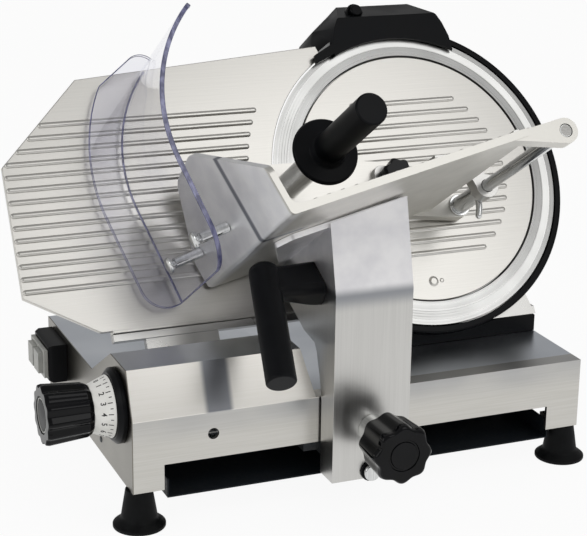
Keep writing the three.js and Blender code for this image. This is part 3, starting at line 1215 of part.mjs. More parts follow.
function pusherArm() {
  const front = pusher.eyeBack + pusher.eyeLength;
  const back = armBack();
  const [armLeft, linkLeft, linkRight] = [pusher.armLeft, pusher.linkLeft, pusher.linkRight].map(besideRod);
  const [low, high] = [pusher.armLow, pusher.armHigh].map(aboveRod);
  const plate = slab(rounded([
    [armLeft, low], [linkRight, low], [linkRight, high], [armLeft, high + pusher.armThickness],
  ], pusher.armThickness), back, back + pusher.armThickness);
  const link = block(linkLeft, linkRight, low, high, back, front);
  const eye = bar(pusher.eyeRadius, [rodAxis.x, rodAxis.y, pusher.eyeBack], [rodAxis.x, rodAxis.y, front]);
  const reach = slab([
    [linkLeft, low], [besideRod(pusher.reachIn), low], [rodAxis.x - pusher.eyeRadius, rodAxis.y],
    [rodAxis.x, rodAxis.y + pusher.eyeRadius], [rodAxis.x, low + pusher.armThickness], [linkRight, high],
    [linkLeft, high],
  ], pusher.eyeBack, front);
  const bore = bar(pusherRod.radius + clearance, [rodAxis.x, rodAxis.y, pusher.eyeBack - overrun],
    [rodAxis.x, rodAxis.y, front + overrun]);
  const studHole = bar(plateKnob.studRadius + clearance,
    [besideRod(plateKnob.u), aboveRod(plateKnob.v), back - overrun],
    [besideRod(plateKnob.u), aboveRod(plateKnob.v), back + pusher.armThickness + overrun], smallSides);
  return cut(join(plate, link, eye, reach), bore, studHole);
}

function pusherPlate() {
  const table = (x, y) => {
    const point = new THREE.Vector3(x, y, 0).applyMatrix4(tableMatrix);
    return [point.x, point.y];
  };
  const low = tray.thickness + tray.ribRise + pusher.tableGap;
  const start = table(tray.wallThickness + tray.innerRadius / 2 + pusher.wallGap, low);
  const leftTop = start[0] - (aboveRod(pusher.plateHigh) - start[1]) * Math.tan(tray.wallAngle * degree);
  const stripLeft = stripMiddle - strip.width / 2 - pusher.wallGap;
  const stripTop = tray.thickness + strip.height + strip.screwRise + pusher.tableGap * 2;
  const [bottomRound, topRound] = [pusher.plateThickness, pusher.plateThickness * 2];
  const outline = rounded([
    start, table(stripLeft, low), table(stripLeft, stripTop), table(tray.length, stripTop),
    [besideRod(pusher.plateRight), aboveRod(pusher.plateEndV)],
    [besideRod(pusher.plateEndU), aboveRod(pusher.plateEndV)],
    [besideRod(pusher.plateLowU), aboveRod(pusher.plateLowV)],
    [besideRod(pusher.plateMidU), aboveRod(pusher.plateMidV)],
    [besideRod(pusher.gripU), aboveRod(pusher.plateHigh)], [leftTop, aboveRod(pusher.plateHigh)],
  ], [bottomRound, 0, 0, 0, 0, 0, 0, 0, 0, topRound]);
  const front = pusher.plateBack + pusher.plateThickness;
  const root = pusher.plateBack + pusher.plateThickness / 4;
  const columns = placesAlong(pusher.spikeInset, pusher.spikeMargin, pusher.spikePitch);
  const spikes = Array.from({ length: columns * pusher.spikeRows }, (_, k) => {
    const [column, row] = [k % columns, Math.floor(k / columns)];
    const [u, v] = table(pusher.spikeInset + column * pusher.spikePitch,
      low + pusher.spikeHeight + row * pusher.spikeRowPitch);
    return bar(pusher.spikeRadius, [u, v, root], [u, v, pusher.plateBack - pusher.spikeLength],
      smallSides / 2, clearance);
  });
  const studHole = bar(plateKnob.studRadius + clearance,
    [besideRod(plateKnob.u), aboveRod(plateKnob.v), pusher.plateBack - overrun],
    [besideRod(plateKnob.u), aboveRod(plateKnob.v), front + overrun], smallSides);
  const gripHole = bar(pusher.boltRadius + clearance, [besideRod(pusher.gripU), aboveRod(pusher.gripV), root],
    [besideRod(pusher.gripU), aboveRod(pusher.gripV), front + overrun]);
  return cut(join(slab(outline, pusher.plateBack, front), ...spikes), studHole, gripHole);
}

function plateKnobPiece() {
  const seat = armBack() + pusher.armThickness + clearance;
  const stud = bar(plateKnob.studRadius, [0, 0, overrun], [0, 0, pusher.plateBack + clearance - seat], smallSides);
  return join(lobedKnob(plateKnob), stud).translate(besideRod(plateKnob.u), aboveRod(plateKnob.v), seat);
}

function pusherSpacer() {
  const back = pusher.plateBack + pusher.plateThickness + clearance;
  const front = pusher.discW - clearance;
  const bolt = pusher.boltRadius;
  const [boltBack, boltFront] = [back - pusher.plateThickness / 2, front + pusher.discThickness * 2];
  return turned([
    [0, boltBack], [bolt, boltBack], [bolt, back], [pusher.spacerRadius, back], [pusher.spacerRadius, front],
    [bolt, front], [bolt, boltFront], [0, boltFront],
  ]).translate(besideRod(pusher.gripU), aboveRod(pusher.gripV), 0);
}

function pusherGrip() {
  const face = pusher.discW + pusher.discThickness;
  const boreEnd = pusher.discW + pusher.discThickness * 2 + clearance;
  const rim = pusher.discRim;
  return turned([
    [pusher.boltRadius + clearance, pusher.discW], [pusher.hubRadius, pusher.discW],
    [pusher.discRadius - rim / 2, face - rim * 2],
    [pusher.discRadius, face - rim], [pusher.discRadius - rim / 2, face], [pusher.gripRadius + rim, face + rim],
    [pusher.gripRadius, face + rim * 3], [pusher.gripRadius, pusher.gripEnd - rim * 2],
    [pusher.gripRadius - rim / 2, pusher.gripEnd - rim / 2], [pusher.gripRadius - rim * 2, pusher.gripEnd],
    [0, pusher.gripEnd], [0, boreEnd], [pusher.boltRadius + clearance, boreEnd],
  ]).translate(besideRod(pusher.gripU), aboveRod(pusher.gripV), 0);
}

// Sharpener, whose heights are measured outwards from the blade's rim
const rimAt = (rise) => blade.radius + rise;

function sharpenerBody() {
  const both = (levels) => [...levels, ...levels.slice().reverse().map(([half, v]) => [-half, v])];
  const front = both([
    [sharpener.frontBottom, rimAt(sharpener.bossLowRise)],
    [sharpener.frontShoulder, rimAt(sharpener.frontShoulderRise)],
    [sharpener.frontSide, rimAt(sharpener.frontSideRise)],
    [sharpener.frontTop, rimAt(sharpener.frontTopRise) - sharpener.topEdge],
    [sharpener.frontTop - sharpener.topEdge, rimAt(sharpener.frontTopRise)],
  ]);
  const rear = both([
    [sharpener.rearBottom, rimAt(sharpener.bossLowRise)],
    [sharpener.rearShoulder, rimAt(sharpener.rearShoulderRise)],
    [sharpener.rearSide, rimAt(sharpener.rearSideRise)], [sharpener.rearCorner, rimAt(sharpener.rearCornerRise)],
    [sharpener.rearTop, rimAt(sharpener.rearTopRise)],
  ]);
  const at = (levels, w) => levels.map(([u, v]) => [u, v, w]);
  return lofted([at(rear, sharpener.rear), at(rear, sharpener.waist), at(front, sharpener.front)]);
}

function sharpenerCover() {
  const lipBack = sharpener.front - sharpener.lipThickness;
  const lipArch = bar(rimAt(sharpener.lipRise), [0, 0, lipBack - overrun], [0, 0, sharpener.front + overrun], fineSides);
  const skirtArch = bar(rimAt(sharpener.skirtRise), [0, 0, sharpener.rear - overrun], [0, 0, lipBack], fineSides);
  const inside = sharpener.rear + sharpener.wall;
  const hollow = block(-sharpener.cavityHalf, sharpener.cavityHalf, rimAt(sharpener.bossLowRise) - overrun,
    rimAt(sharpener.cavityTopRise), inside, sharpener.cavityFront);
  const finOuter = -sharpener.frontBottom - sharpener.finReach;
  const fin = slab([
    [-sharpener.frontBottom + overrun, rimAt(sharpener.finTopRise)],
    [finOuter, rimAt(sharpener.finTopRise) - sharpener.finDrop],
    [finOuter, rimAt(sharpener.finLowRise)],
    [-sharpener.frontBottom + overrun, rimAt(sharpener.finLowRise) + sharpener.finThickness],
  ], lipBack, sharpener.front);
  const seat = block(-sharpener.bossHalf, sharpener.bossHalf, rimAt(sharpener.bossHighRise) + clearance,
    rimAt(sharpener.cavityTopRise) + overrun, inside - overrun, sharpener.stoneW - sharpener.stoneThickness - clearance * 3);
  const post = bar(sharpener.postRadius, [0, rimAt(sharpener.postLowRise), sharpener.postW],
    [0, rimAt(sharpener.cavityTopRise) + overrun, sharpener.postW]);
  const collar = alongButton(sharpener.collarRadius, sharpener.collarBack, sharpener.collarFront);
  const head = buttonBack();
  const well = alongButton(sharpener.buttonRadius + sharpener.buttonGap, head - sharpener.buttonTravel,
    sharpener.front + overrun);
  const stemHole = alongButton(sharpener.stemRadius + clearance,
    head - sharpener.stemLength - sharpener.buttonTravel, head);
  const stoneBores = stonePlaces.map((u) => bar(sharpener.stemRadius + clearance,
    [u, rimAt(sharpener.stoneRise), inside + overrun],
    [u, rimAt(sharpener.stoneRise), inside - sharpener.wall / 2], smallSides));
  const shell = join(cut(sharpenerBody(), lipArch, skirtArch, hollow), fin, seat, post, collar);
  return cut(shell, well, stemHole, ...stoneBores);
}

// The button moves square to the blade, on an axis above the sharpener's front edge
function alongButton(radius, back, front) {
  const v = rimAt(sharpener.buttonRise);
  return bar(radius, [sharpener.buttonU, v, back], [sharpener.buttonU, v, front]);
}

const buttonBack = () => sharpener.buttonFront - sharpener.buttonLength;

function sharpenerButton() {
  const back = buttonBack();
  const front = sharpener.buttonFront;
  return turned([
    [0, back - sharpener.stemLength], [sharpener.stemRadius, back - sharpener.stemLength],
    [sharpener.stemRadius, back], [sharpener.buttonRadius, back],
    [sharpener.buttonRadius, front - sharpener.buttonEdge], [sharpener.buttonRadius - sharpener.buttonEdge, front],
    [0, front],
  ]).translate(sharpener.buttonU, rimAt(sharpener.buttonRise), 0);
}

const stonePlaces = [-sharpener.stoneU, sharpener.stoneU];

function sharpeningStone(u) {
  const back = sharpener.stoneW - sharpener.stoneThickness;
  const end = sharpener.rear + sharpener.wall / 2 + clearance;
  return turned([
    [0, end], [sharpener.stemRadius, end], [sharpener.stemRadius, back], [sharpener.stoneRadius, back],
    [sharpener.stoneRadius, sharpener.stoneW], [0, sharpener.stoneW],
  ]).translate(u, rimAt(sharpener.stoneRise), 0);
}

// Assembly
const part = new THREE.Group();
part.name = 'gravity_feed_slicer';

function addPiece(name, geometry, material) {
  const flat = geometryOf(solidOf(geometry)).toNonIndexed();
  flat.computeVertexNormals();
  const mesh = new THREE.Mesh(flat, material);
  mesh.name = name;
  part.add(mesh);
}

const addInPlane = (name, geometry, material) => addPiece(name, inMachine(geometry), material);
const addOnBlade = (name, geometry, material) => addInPlane(name, onBlade(geometry), material);

addPiece('base_housing', baseHousing(), satinAlloy);
addPiece('base_pan', bottomPan(), blackPaint);
const footNames = ['foot_front_left', 'foot_rear_left', 'foot_front_right', 'foot_rear_right'];
footPlaces.forEach(([x, y], k) => addPiece(footNames[k], rubberFoot().translate(x, y, 0), blackRubber));
addPiece('slide_rod', slideRod(), polishedSteel);
addPiece('guide_bar', guideBar(), polishedSteel);
addPiece('cord_gland', cordGland(), blackPlastic);

addPiece('riser_block', riserBlock(), blackPaint);
addInPlane('blade_stand', standCasting(), satinAlloy);
addOnBlade('ring_guard', ringGuard(), blackPlastic);
addInPlane('spindle_carrier', spindleCarrier(), castIron);
addOnBlade('spindle_bearing', spindleBearing(), polishedSteel);
addOnBlade('blade_pulley', bladePulley(), castIron);
addOnBlade('blade', bladeDisc(), polishedSteel);
addOnBlade('blade_clamp', bladeClamp(), darkSteel);
addInPlane('drive_belt', driveBelt(), blackRubber);
addInPlane('motor_pulley', motorPulley(), darkSteel);
addInPlane('motor_body', motorBody(), castIron);
addInPlane('motor_cover', motorCasing(), blackPlastic);
addOnBlade('blade_cover', bladeCover(), brushedSheet);
addOnBlade('cover_knob', coverReleaseKnob(), blackPlastic);
addOnBlade('slice_deflector', sliceDeflector(), polishedSteel);

addInPlane('gauge_plate', gaugePlate(), satinAlloy);
addInPlane('gauge_bracket', gaugeBracket(), satinAlloy);
const gaugeRodNames = ['gauge_rod_left', 'gauge_rod_right'];
gaugeRodNames.forEach((name, k) => addInPlane(name, gaugeRod(gaugeRodPlaces[k]), polishedSteel));
addPiece('dial_ring', dialRing(), blackPlastic);
addPiece('dial_scale', dialScale(), whitePlastic);
addPiece('dial_knob', dialKnob(), blackGloss);
addPiece('dial_camshaft', dialCamshaft(), darkSteel);

addPiece('switch_housing', switchHousing(), blackPlastic);
addPiece('switch_bezel', switchBezel(), greyPlastic);
['on_button', 'off_button'].forEach((name, k) => addPiece(name, switchButton(buttonPlaces()[k]), whitePlastic));

addPiece('carriage_arm', carriageArm(), satinAlloy);
addPiece('carriage_bracket', carriageBracket(), castIron);
addPiece('arm_pin', armPin(), polishedSteel);
addPiece('arm_washer', armWasher(), blackPlastic);
addPiece('knob_stud', knobStud(), polishedSteel);
addPiece('column_knob', columnKnob(), blackGloss);
addInPlane('food_tray', foodTray(), satinAlloy);
addInPlane('pusher_rod', pusherRodBar(), polishedSteel);
addInPlane('rod_strip', rodStrip(), satinAlloy);
addInPlane('guard', clearGuard(), clearSheet);
const guardScrewNames = ['guard_screw_front', 'guard_screw_rear'];
guardScrewNames.forEach((name, k) => addInPlane(name, guardScrew(guardScrewPlaces()[k]), darkSteel));
addInPlane('push_handle', pushHandle(), blackPlastic);
addInPlane('pusher_sleeve', pusherSleeve(), polishedSteel);
addInPlane('pusher_arm', pusherArm(), satinAlloy);
addInPlane('pusher_plate', pusherPlate(), polishedAlloy);
addInPlane('plate_knob', plateKnobPiece(), blackGloss);
addInPlane('pusher_spacer', pusherSpacer(), polishedSteel);
addInPlane('pusher_grip', pusherGrip(), blackPlastic);

addOnBlade('sharpener_cover', sharpenerCover(), blackPlastic);
addOnBlade('sharpener_button', sharpenerButton(), darkSteel);
['stone_left', 'stone_right'].forEach((name, k) => addOnBlade(name, sharpeningStone(stonePlaces[k]), stone));

// The origin is the centre of the footprint, on the floor
const extent = new THREE.Box3().setFromObject(part);
const middle = extent.getCenter(new THREE.Vector3());
for (const piece of part.children) piece.geometry.translate(-middle.x, -middle.y, -extent.min.z);

export default part;
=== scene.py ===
# %% [markdown]
# # A gravity-feed slicer, dressed for a studio picture
# The solid model already exists. It comes in as a fixed frame of named nodes, each riding on a moving body.
# This lesson gives every node a real finish, and swaps the ones whose surface matters most for smooth
# surfaces worked out with numpy. Coordinates are metres in the model's own frame.

# %% Load the frame
import json
import math

import bmesh
import bpy
import numpy as np
from mathutils import Matrix

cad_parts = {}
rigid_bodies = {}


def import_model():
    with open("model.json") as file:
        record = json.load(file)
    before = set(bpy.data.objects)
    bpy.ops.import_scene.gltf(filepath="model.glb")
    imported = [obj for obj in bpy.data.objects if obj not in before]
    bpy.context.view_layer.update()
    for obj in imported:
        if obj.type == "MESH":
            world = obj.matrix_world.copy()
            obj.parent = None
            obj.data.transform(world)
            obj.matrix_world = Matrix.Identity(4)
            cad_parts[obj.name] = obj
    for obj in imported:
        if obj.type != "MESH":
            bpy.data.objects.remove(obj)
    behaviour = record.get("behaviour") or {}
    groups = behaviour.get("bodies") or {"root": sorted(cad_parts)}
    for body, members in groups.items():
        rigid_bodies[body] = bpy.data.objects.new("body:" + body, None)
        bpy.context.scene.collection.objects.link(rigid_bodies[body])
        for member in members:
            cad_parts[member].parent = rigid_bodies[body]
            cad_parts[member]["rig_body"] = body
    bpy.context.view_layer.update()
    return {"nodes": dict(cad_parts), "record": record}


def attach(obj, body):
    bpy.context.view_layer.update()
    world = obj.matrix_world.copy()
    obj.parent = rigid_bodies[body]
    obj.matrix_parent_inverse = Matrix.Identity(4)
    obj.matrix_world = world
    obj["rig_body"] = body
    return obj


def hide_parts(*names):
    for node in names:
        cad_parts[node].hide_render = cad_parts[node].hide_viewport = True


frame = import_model()
nodes = frame["nodes"]

# %% [markdown]
# ## The camera
# The picture was taken from the operator's left, a little above the tray. Place, direction and lens are
# numbers, so the frame matches a picture 587 pixels wide with its middle in the middle of the sensor.

# %% Camera
AZIMUTH, ELEVATION, ROLL = np.radians([-22.5274, 17.4530, 0.772])
EYE = (-0.60390, -1.39560, 0.66565)
FOCAL_PIXELS, PICTURE_WIDTH = 1687.18, 587

back = np.array([
    np.sin(AZIMUTH) * np.cos(ELEVATION), -np.cos(AZIMUTH) * np.cos(ELEVATION), np.sin(ELEVATION)])
level_right = np.cross([0.0, 0.0, 1.0], back)
level_right /= np.linalg.norm(level_right)
level_up = np.cross(back, level_right)
camera_right = np.cos(ROLL) * level_right + np.sin(ROLL) * level_up
camera_up = -np.sin(ROLL) * level_right + np.cos(ROLL) * level_up

lens = bpy.data.cameras.new("camera")
lens.sensor_width = 36.0
lens.lens = FOCAL_PIXELS / PICTURE_WIDTH * lens.sensor_width
lens.clip_start, lens.clip_end = 0.05, 60.0
camera = bpy.data.objects.new("camera", lens)
bpy.context.scene.collection.objects.link(camera)
pose = np.eye(4)
pose[:3, :4] = np.column_stack([camera_right, camera_up, back, EYE])
camera.matrix_world = Matrix(pose.tolist())
bpy.context.scene.camera = camera
bpy.context.scene.view_settings.view_transform = "Standard"
print("lens:", round(lens.lens, 2), "mm")

# %% [markdown]
# ## Light
# A white studio. The camera and the clear sheet see it as plain white (1.0). It lights the machine with
# 0.55, and glossy faces mirror it at only 0.40, so that those turned to the lamps stand out. The large
# softbox hangs where the blade and the gauge plate mirror it, in front, above and to the right; a smaller
# lamp lights the machine's left side weakly.

# %% Colours and nodes
def on_circle(angle):
    """(cos a, sin a) rows."""
    return np.column_stack([np.cos(angle), np.sin(angle)])


def linear(colour):
    """sRGB hex to linear light: c/12.92 below 0.04045, else ((c + 0.055) / 1.055) to the power 2.4."""
    share = np.array([int(colour[k:k + 2], 16) for k in (1, 3, 5)]) / 255
    light = np.where(share <= 0.04045, share / 12.92, ((share + 0.055) / 1.055) ** 2.4)
    return (*light.tolist(), 1.0)


def add_node(tree, kind, inputs=None, **settings):
    """Adds one node: settings are its own properties, inputs are values, or output sockets to link from."""
    node = tree.nodes.new(kind)
    for name, value in settings.items():
        setattr(node, name, value)
    for name, value in (inputs or {}).items():
        if isinstance(value, bpy.types.NodeSocket):
            tree.links.new(value, node.inputs[name])
        else:
            node.inputs[name].default_value = value
    return node


def calc(tree, operation, *values):
    """The output of one Math node, whose values are numbers or sockets."""
    return add_node(tree, "ShaderNodeMath", dict(enumerate(values)), operation=operation).outputs[0]


def background_rays(tree):
    """The Light Path outputs, and a socket that is 1 for camera and transmission rays."""
    path = add_node(tree, "ShaderNodeLightPath").outputs
    return path, calc(tree, "MAXIMUM", path["Is Camera Ray"], path["Is Transmission Ray"])


# %% World
ROOM_LIGHT, ROOM_MIRRORED = 0.55, 0.40
world = bpy.data.worlds.new("white_studio")
bpy.context.scene.world = world
world.use_nodes = True
tree = world.node_tree
tree.nodes.clear()
path, open_view = background_rays(tree)
dimmed = add_node(tree, "ShaderNodeMapRange", {
    "Value": path["Is Glossy Ray"], "To Min": ROOM_LIGHT, "To Max": ROOM_MIRRORED})
level = add_node(tree, "ShaderNodeMapRange", {
    "Value": open_view, "To Min": dimmed.outputs["Result"], "To Max": 1.0})
sky = add_node(tree, "ShaderNodeBackground", {"Color": (1, 1, 1, 1), "Strength": level.outputs["Result"]})
add_node(tree, "ShaderNodeOutputWorld", {"Surface": sky.outputs[0]})


# %% Lamps
def soft_lamp(name, place, aim, size, watts):
    """A square lamp at place that faces aim: its own -Z axis is the direction from place to aim."""
    lamp = bpy.data.lights.new(name, "AREA")
    lamp.shape, lamp.size, lamp.energy = "SQUARE", size, watts
    piece = bpy.data.objects.new(name, lamp)
    bpy.context.scene.collection.objects.link(piece)
    away = np.array(place, float) - np.array(aim, float)
    away /= np.linalg.norm(away)
    side = np.cross([0.0, 1.0, 0.0] if abs(away[2]) > 0.95 else [0.0, 0.0, 1.0], away)
    side /= np.linalg.norm(side)
    turn = np.eye(4)
    turn[:3, :4] = np.column_stack([side, np.cross(away, side), away, place])
    piece.matrix_world = Matrix(turn.tolist())
    return piece


MACHINE = (0.0, 0.0, 0.2)
soft_lamp("softbox", (0.75, -1.55, 1.55), MACHINE, size=1.3, watts=8.2)
soft_lamp("side", (-2.0, -0.6, 0.9), MACHINE, size=1.1, watts=7.0)

# %% [markdown]
# ## The floor
# A white sheet of paper. Most of what the camera sees of it is plain white, as in a picture with its
# background cleared, and the rest is its lit surface, which keeps a faint shadow under the machine.

# %% Floor
FINISHES = {}


def new_finish(name):
    """An empty material, kept in FINISHES under its name, and its node tree with an output."""
    material = FINISHES[name] = bpy.data.materials.new(name)
    material.use_nodes = True
    material.node_tree.nodes.clear()
    output = add_node(material.node_tree, "ShaderNodeOutputMaterial")
    return material, material.node_tree, output


FLOOR_SEEN, FLOOR_MIRRORED = 0.93, 0.85
white_paper, tree, output = new_finish("white_paper")
lit = add_node(tree, "ShaderNodeBsdfDiffuse", {"Color": linear("#F4F4F2")})
plain = add_node(tree, "ShaderNodeEmission", {"Color": (1, 1, 1, 1), "Strength": 1.0})
path, open_view = background_rays(tree)
seen = calc(tree, "MULTIPLY", open_view, FLOOR_SEEN)
share = calc(tree, "MAXIMUM", seen, calc(tree, "MULTIPLY", path["Is Glossy Ray"], FLOOR_MIRRORED))
both = add_node(tree, "ShaderNodeMixShader", {0: share, 1: lit.outputs[0], 2: plain.outputs[0]})
tree.links.new(both.outputs[0], output.inputs["Surface"])

FLOOR_REACH, FLOOR_SIDES = 9.0, 96
turns = np.linspace(0, 2 * np.pi, FLOOR_SIDES, endpoint=False)
paper = bpy.data.meshes.new("floor")
paper.from_pydata(np.column_stack([FLOOR_REACH * on_circle(turns), np.zeros(FLOOR_SIDES)]).tolist(), [],
                  [list(range(FLOOR_SIDES))])
floor = bpy.data.objects.new("floor", paper)
bpy.context.scene.collection.objects.link(floor)
floor.data.materials.append(white_paper)

# %% [markdown]
# ## Finishes
# Each material starts from what the real one is. Metals are Principled with metallic 1 (cast iron 0.7) and
# the default IOR. But for the painted zones named below, their look is in the roughness and in tiny height
# changes. Patterns read Object coordinates, in metres, and a Mapping node sets their size in millimetres.


# %% A pattern in millimetres
def grain(tree, size, detail=2.0):
    """Noise whose cells are size millimetres: one number, or (x, y, z)."""
    where = add_node(tree, "ShaderNodeTexCoord")
    scaled = add_node(tree, "ShaderNodeMapping", {
        "Vector": where.outputs["Object"], "Scale": (1000.0 / np.broadcast_to(size, 3)).tolist()})
    return add_node(tree, "ShaderNodeTexNoise", {
        "Vector": scaled.outputs[0], "Scale": 1.0, "Detail": detail}).outputs[0]


def spread(tree, socket, low, high, start=0.35, end=0.65):
    """Maps a pattern's middle values from start..end to low..high."""
    return add_node(tree, "ShaderNodeMapRange", {
        "Value": socket, "From Min": start, "From Max": end, "To Min": low, "To Max": high}).outputs["Result"]


def tinted(tree, socket, dark, light, start=0.35, end=0.65):
    """Blends two sRGB colours by a pattern."""
    ramp = add_node(tree, "ShaderNodeValToRGB", {"Fac": socket})
    ramp.color_ramp.elements[0].position, ramp.color_ramp.elements[0].color = start, linear(dark)
    ramp.color_ramp.elements[1].position, ramp.color_ramp.elements[1].color = end, linear(light)
    return ramp.outputs["Color"]


def raised(tree, height, millimetres, strength=1.0):
    """A bump of the given depth."""
    return add_node(tree, "ShaderNodeBump", {
        "Height": height, "Distance": millimetres / 1000, "Strength": strength}).outputs["Normal"]


def zone(tree, socket, low, high):
    """0 below low and 1 above high with a soft step between; low above high turns it round."""
    step = add_node(tree, "ShaderNodeMapRange", {
        "Value": socket, "From Min": low, "From Max": high}, interpolation_type="SMOOTHSTEP")
    return step.outputs["Result"]


def blend(tree, share, first, second):
    """Mixes two colours: first where share is 0, second where it is 1."""
    return add_node(tree, "ShaderNodeMix", {
        "Factor": share, "A": first, "B": second}, data_type="RGBA").outputs[2]


def surface(name, **inputs):
    """A Principled material, whose sockets are given by name with _ for a space."""
    material, tree, output = new_finish(name)
    shader = add_node(tree, "ShaderNodeBsdfPrincipled", {
        key.replace("_", " "): value for key, value in inputs.items()})
    tree.links.new(shader.outputs[0], output.inputs["Surface"])
    return material, tree, shader


def finish(name, size, detail, colours, roughness=None, bump=None, ends=(0.35, 0.65), **inputs):
    """A Principled material: one noise of size millimetres runs its colour between two tones and its
    roughness between two values. bump is (depth in mm, strength), and a size where its own is finer."""
    material, tree, shader = surface(name, **inputs)
    pattern = grain(tree, size, detail)
    tree.links.new(tinted(tree, pattern, *colours, *ends), shader.inputs["Base Color"])
    if roughness:
        tree.links.new(spread(tree, pattern, *roughness), shader.inputs["Roughness"])
    if bump:
        relief = grain(tree, bump[2]) if len(bump) > 2 else pattern
        tree.links.new(raised(tree, relief, *bump[:2]), shader.inputs["Normal"])
    return material


TILT = math.radians(31.66)
BLADE_CENTRE = np.array([127.9504, 52.1611, 253.1]) / 1000


def tilted(tree):
    """Object coordinates in the blade's own frame: across, up the slope and out of its plane, in metres."""
    where = add_node(tree, "ShaderNodeTexCoord")
    return add_node(tree, "ShaderNodeMapping", {
        "Vector": where.outputs["Object"], "Location": tuple(BLADE_CENTRE),
        "Rotation": (math.pi / 2 - TILT, 0.0, 0.0)}, vector_type="TEXTURE").outputs[0]


def axes(tree, vector):
    """The X, Y and Z sockets of a vector."""
    return add_node(tree, "ShaderNodeSeparateXYZ", {0: vector}).outputs


# %% Satin aluminium and brushed plate
# Cast aluminium, ground and anodised matt: soft wide reflections, a faint mottle about a hand wide and
# fine pores of about 1 mm (real ones are 0.3 mm, drawn coarser to show).
finish("satin_aluminium", (70, 70, 40), 3.0, ("#BCBBB8", "#CCCBC8"), (0.24, 0.34),
       bump=(0.03, 0.2, 2.2), Metallic=1.0)

# Rolled aluminium brushed along the table: fine streaks along X, 0.1 mm wide in truth and 0.9 mm here.
brushed_plate = finish("brushed_plate", (60, 0.9, 0.9), 2.0, ("#C9C7C2", "#CFCDC8"), (0.29, 0.33),
                       bump=(0.01, 0.15), Metallic=1.0)

# %% [markdown]
# ## Sheets with zones painted by place
# The next three finishes are satin metal, but each also has lighter and darker zones set by Object
# coordinates. They imitate what look like reflections of the room in the picture, not marks on the metal.
# As paint they keep their place when the lamps, the view or the carriage move, which reflections don't.

# %% Folded sheet
# The column is satin sheet folded on a press brake, with upright grinding strokes. Its zones are painted
# reflections: dark under the fold, 207 mm above the floor, and fading downwards; brighter and cloudy above
# it, where the sheet is also rougher.
folded_sheet, tree, shader = surface("folded_sheet", Metallic=1.0)
strokes = grain(tree, (1.4, 1.4, 90))
height = axes(tree, add_node(tree, "ShaderNodeTexCoord").outputs["Object"])["Z"]
lower = tinted(tree, strokes, "#C6C5C2", "#CCCBC8")
painted_highlight_above_fold = tinted(tree, grain(tree, 25, 3.0), "#E6E5E8", "#F4F3F4")
painted_shade_under_fold = blend(tree, zone(tree, height, 0.190, 0.205), lower, linear("#96989C"))
above_fold = zone(tree, height, 0.205, 0.214)
tree.links.new(blend(tree, above_fold, painted_shade_under_fold, painted_highlight_above_fold), shader.inputs["Base Color"])
tree.links.new(calc(tree, "MULTIPLY_ADD", above_fold, 0.16, spread(tree, strokes, 0.29, 0.32)),
               shader.inputs["Roughness"])

# %% Housing sheet
# The housing is one aluminium sheet folded along the bench and ground along it. Its zones are painted
# reflections and painted shade: the front, darker under the lower fold (102 mm up); the hump's bright side
# with a dark band 24 mm wide; the cooler slope behind the front; its low rear; and the brown left end.
housing_sheet, tree, shader = surface("housing_sheet", Metallic=1.0)
at = axes(tree, add_node(tree, "ShaderNodeTexCoord").outputs["Object"])
strokes = grain(tree, (60, 1.2, 1.2))
clouds = grain(tree, (90, 90, 50))
shade = calc(tree, "MULTIPLY", zone(tree, at["Z"], 0.074, 0.1015), spread(tree, clouds, 0.35, 0.8))
front = blend(tree, shade, tinted(tree, strokes, "#C4C2BC", "#CBC9C4"), linear("#A3A4A6"))
off_band = calc(tree, "ABSOLUTE", calc(tree, "SUBTRACT", at["X"], -0.1370))
hump = blend(tree, zone(tree, off_band, 0.015, 0.009),
             tinted(tree, strokes, "#F0EDE6", "#F3F0EA"), linear("#94969B"))
on_hump = calc(tree, "MULTIPLY", zone(tree, at["Z"], 0.1020, 0.1034), zone(tree, at["X"], -0.03, -0.04))
low_rear = calc(tree, "MULTIPLY", zone(tree, at["Z"], 0.1020, 0.1010), zone(tree, at["X"], -0.2160, -0.2155))
slope = blend(tree, low_rear, tinted(tree, clouds, "#D3D8DF", "#E6EAF0"),
              tinted(tree, strokes, "#C0BFBA", "#C8C6C1"))
sides = blend(tree, zone(tree, at["Y"], -0.0895, -0.0888), blend(tree, on_hump, front, hump), slope)
painted_brown_left_end = tinted(tree, clouds, "#76736C", "#87847C")
outside = blend(tree, zone(tree, at["X"], -0.2163, -0.2168), sides, painted_brown_left_end)
tree.links.new(outside, shader.inputs["Base Color"])
tree.links.new(spread(tree, strokes, 0.28, 0.30), shader.inputs["Roughness"])

# %% Tray sheet
# The tray is cast and satin, with cloudy spots 22 mm wide. Its zones are painted reflections: the outside
# of its end wall is brighter, and a dark band 7 mm wide runs up the wall.
tray_sheet, tree, shader = surface("tray_sheet", Metallic=1.0)
at = axes(tree, tilted(tree))
clouds = grain(tree, 22, 3.0)
outside = calc(tree, "MULTIPLY", zone(tree, at["X"], -0.222, -0.232), zone(tree, at["Z"], 0.2385, 0.2345))
tones_with_painted_wall = blend(tree, outside, tinted(tree, clouds, "#D3D1CB", "#DBD9D3"),
             tinted(tree, clouds, "#EDEDEF", "#F6F6F6"))
off_band = calc(tree, "ABSOLUTE", calc(tree, "SUBTRACT", at["Z"], 0.161))
painted_reflection_band = calc(tree, "MULTIPLY", zone(tree, off_band, 0.0055, 0.0015), zone(tree, at["X"], -0.190, -0.200))
tree.links.new(blend(tree, painted_reflection_band, tones_with_painted_wall, linear("#85878F")), shader.inputs["Base Color"])
tree.links.new(spread(tree, clouds, 0.40, 0.44), shader.inputs["Roughness"])

# %% Polished aluminium
# Buffed until it mirrors: a low roughness, with a little waviness of the sheet.
finish("polished_aluminium", 45, 1.0, ("#D3D4D4", "#DFE0E0"), (0.10, 0.17),
       bump=(0.25, 0.2), Metallic=1.0)
